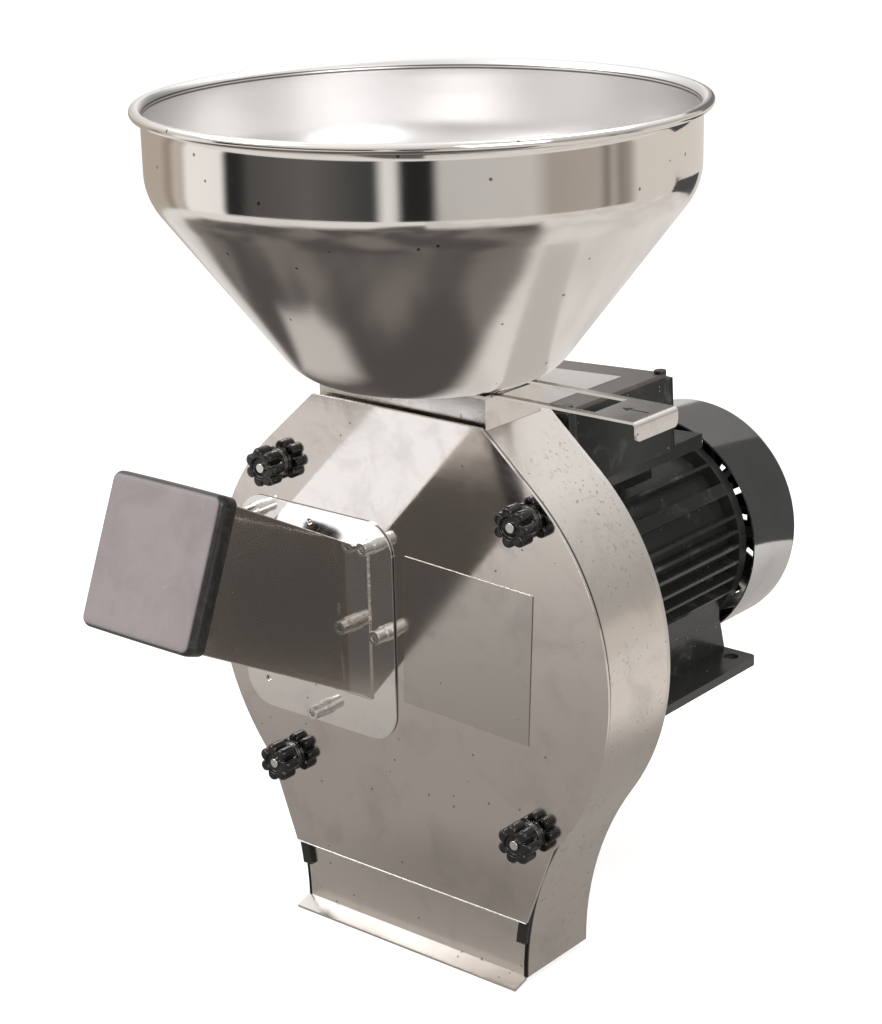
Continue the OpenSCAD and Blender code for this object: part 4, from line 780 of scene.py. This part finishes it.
def rounded_square(half, inset, corner, bulge):
    """Points round a square with rounded corners: the sides are set in by an inset and bow outward by a bulge
    that is greatest at their middles."""
    a = np.linspace(0, math.pi / 2, 10)
    reach = half - inset
    r = max(corner - inset, 0.8)
    quarter = np.stack([reach[0] - r + r * np.cos(a), reach[1] - r + r * np.sin(a)], -1)
    corners = [quarter * flip for flip in ((1, 1), (-1, 1), (-1, -1), (1, -1))]
    corners = [part if k % 2 == 0 else part[::-1] for k, part in enumerate(corners)]
    between = np.linspace(0, 1, 8)[1:-1, None]
    ring = []
    for part, following in zip(corners, corners[1:] + corners[:1]):
        ring += [part, part[-1] + (following[0] - part[-1]) * between]
    ring = np.concatenate(ring)
    share = np.abs(ring) / reach
    return ring * (1 + bulge * (1 - share.min(1, keepdims=True) ** 2) / reach.max())


def moulded_cap():
    """A shallow box: rows of rounded squares run from inside the skirt round its lip, along the outside,
    round the front edge in an arc and over the face. A row is (inset, place along the tube, bulge)."""
    lip, front_round = 0.6, 4.4
    turn = np.linspace(0, math.pi / 2, 7)
    rows = [(cap_wall, -0.3, 0.0), (cap_wall, cap_back + lip, 0.0)]
    rows += [(cap_wall - lip * (1 - math.cos(t)), cap_back + lip * (1 - math.sin(t)), 0.0) for t in turn[1:]]
    rows += [(1.0 - lip * math.sin(t), cap_back + lip * (1 - math.cos(t)), 0.0) for t in turn]
    rows += [(0.15, -6.5, 0.2), (0.0, -3.0, 0.3)]
    rows += [(front_round * (1 - math.cos(t)), cap_face - front_round * (1 - math.sin(t)), 0.2) for t in turn]
    rows += [(share * 40, cap_face - 0.25 * share, 0.0) for share in (0.2, 0.45, 0.7, 0.95)]
    grid = []
    for inset, out, bulge in rows:
        ring = rounded_square(cap_half, inset, cap_corner, bulge)
        grid.append(np.stack([ring[:, 0], np.full(len(ring), -out), ring[:, 1]], -1))
    return skin("inlet_cap_moulded", tube_frame(np.array(grid), cap_tilt), ends=True)


def cap_finish():
    """Rubber that is dusty and matt on the cap's face and glossy black round its sides."""
    grain_depth, side_depth = 0.03, 0.6
    material, tree, output = blank_material("cap_rubber")
    corners = put(tree, "TexCoord").outputs
    place = corners["Object"]
    lean = math.radians(tube_slope - cap_tilt)
    ahead = vector_calc(tree, "DOT_PRODUCT", corners["Normal"], (0, -math.cos(lean), math.sin(lean)))
    face = rise(tree, ahead, 0.72, 0.96, "SMOOTHSTEP")
    cloud = use(tree, smudge_effect, {"Position": place, "Scale": 26.0, "Low": 0.35, "High": 0.75})
    fine = use(tree, smudge_effect, {"Position": place, "Scale": 150.0, "Low": 0.4, "High": 0.8})
    marks = use(tree, smudge_effect, {"Position": place, "Scale": 60.0, "Low": 0.62, "High": 0.72})
    dusty = blend(tree, cloud, (0.345, 0.305, 0.31), (0.285, 0.245, 0.25))
    dusty = blend(tree, calc(tree, "MULTIPLY", fine, 0.35), dusty, (0.28, 0.25, 0.25))
    dusty = blend(tree, calc(tree, "MULTIPLY", marks, 0.3), dusty, (0.52, 0.48, 0.47))
    black = blend(tree, fine, (0.02, 0.019, 0.019), (0.05, 0.047, 0.046))
    base = blend(tree, face, black, dusty)
    rough = ranged(tree, face, 0.2, 0.62)
    grain = use(tree, waves_effect, {"Position": place, "Scale": 900.0})
    swells = use(tree, waves_effect, {"Position": place, "Scale": 30.0})
    bump = bumps(tree, swells, side_depth, bumps(tree, grain, grain_depth))
    shader = put(tree, "BsdfPrincipled", {"Base Color": base, "Roughness": rough, "Normal": bump})
    tree.links.new(shader.outputs[0], output.inputs[0])
    return material


finished(moulded_cap(), "cap", cap_finish(), ["inlet_cap"], angle=50)

# Motor housing, feet and shields
# Cast aluminium under glossy black enamel: straight fins, strips for the tie bolts, and two feet.
motor_enamel = coated("motor_enamel", (0.028, 0.029, 0.027), (0.30, 0.29, 0.27), 0.20, peel=0.05,
                      peel_scale=260)
dressed("motor_housing", "mill_frame", motor_enamel, 0.7)
for node in ("motor_feet", "front_shield", "rear_shield"):
    dressed(node, "mill_frame", motor_enamel, 0.8)

# Fan cover
# Drawn sheet steel, chrome plated, with slots in its back for the cooling air.
fan_chrome = steel("fan_chrome", (0.72, 0.72, 0.72), 0.10, stretch=(60, 60, 60), waves=0.12, wave_scale=25,
                   specks=0.01)
dressed("fan_cover", "mill_frame", fan_chrome, 0.5)
dressed("fan_cover_screws", "mill_frame", stud_steel, 0.3)

# Terminal box
# A die-cast box under satin black enamel on top of the motor, with a painted lid and a bare label on it.
box_enamel = coated("box_enamel", (0.014, 0.016, 0.015), (0.3, 0.29, 0.27), 0.34, peel=0.05, peel_scale=400)
lid_paint = coated("lid_paint", (0.13, 0.115, 0.10), (0.42, 0.4, 0.37), 0.38, peel=0.04, peel_scale=400)
label_film = coated("label_film", (0.62, 0.60, 0.57), (0.4, 0.38, 0.35), 0.3, peel=0.004, peel_scale=300)
dressed("terminal_box", "mill_frame", box_enamel, 1.2, 3)
dressed("box_lid", "mill_frame", lid_paint, 0.8, 3)
dressed("lid_screws", "mill_frame", box_enamel, 0.4)
dressed("rating_plate", "mill_frame", label_film, 0.15)

# Gland and switch
# Moulded black plastic parts on the terminal box: the cord's gland at the back, and a rocker switch on the
# left with a red rocker.
gland_plastic = coated("gland_plastic", (0.016, 0.016, 0.017), (0.25, 0.24, 0.22), 0.4)
rocker_plastic = coated("rocker_plastic", (0.35, 0.012, 0.01), (0.4, 0.35, 0.3), 0.25)
dressed("cable_gland", "mill_frame", gland_plastic, 0.5)
dressed("switch_frame", "mill_frame", gland_plastic, 0.4)
dressed("switch_rocker", "rocker", rocker_plastic, 0.5)

# Grinding and motor parts inside
# They keep their CAD meshes, because they show only through the outlet, the slots or an open pose. The loop
# gives them their finishes.
inner_steel = steel("inner_steel", (0.62, 0.6, 0.57), 0.3)
hammer_steel = steel("hammer_steel", (0.42, 0.41, 0.40), 0.4, specks=0.08)
rotor_iron = steel("rotor_iron", (0.33, 0.32, 0.31), 0.45, specks=0.05)
core_steel = steel("core_steel", (0.3, 0.3, 0.31), 0.5, stretch=(30, 2500, 30))
copper_wire = steel("copper_wire", (0.72, 0.38, 0.18), 0.35, stretch=(900, 60, 900), line_depth=0.2)
pale_plastic = coated("pale_plastic", (0.72, 0.7, 0.64), (0.4, 0.38, 0.35), 0.45)
fan_plastic = coated("fan_plastic", (0.02, 0.02, 0.022), (0.25, 0.24, 0.22), 0.5)
inner = {
    inner_steel: ("sieve", "rotor_bolt", "tie_bolts", "flange_bolts", "fan_clip", "motor_shaft", "shaft_key",
                  "bearing_outer_rings", "bearing_inner_sets", "hammer_pins", "pin_spacers"),
    hammer_steel: ("hammer_1", "hammer_2", "hammer_3", "hammer_4"),
    rotor_iron: ("rotor_hub", "rotor_plates"),
    core_steel: ("stator_core", "rotor_core"),
    copper_wire: ("stator_windings",),
    pale_plastic: ("terminal_block", "capacitor"),
    fan_plastic: ("cooling_fan",)}
for material, nodes in inner.items():
    for node in nodes:
        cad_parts[node].data.materials.clear()
        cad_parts[node].data.materials.append(material)
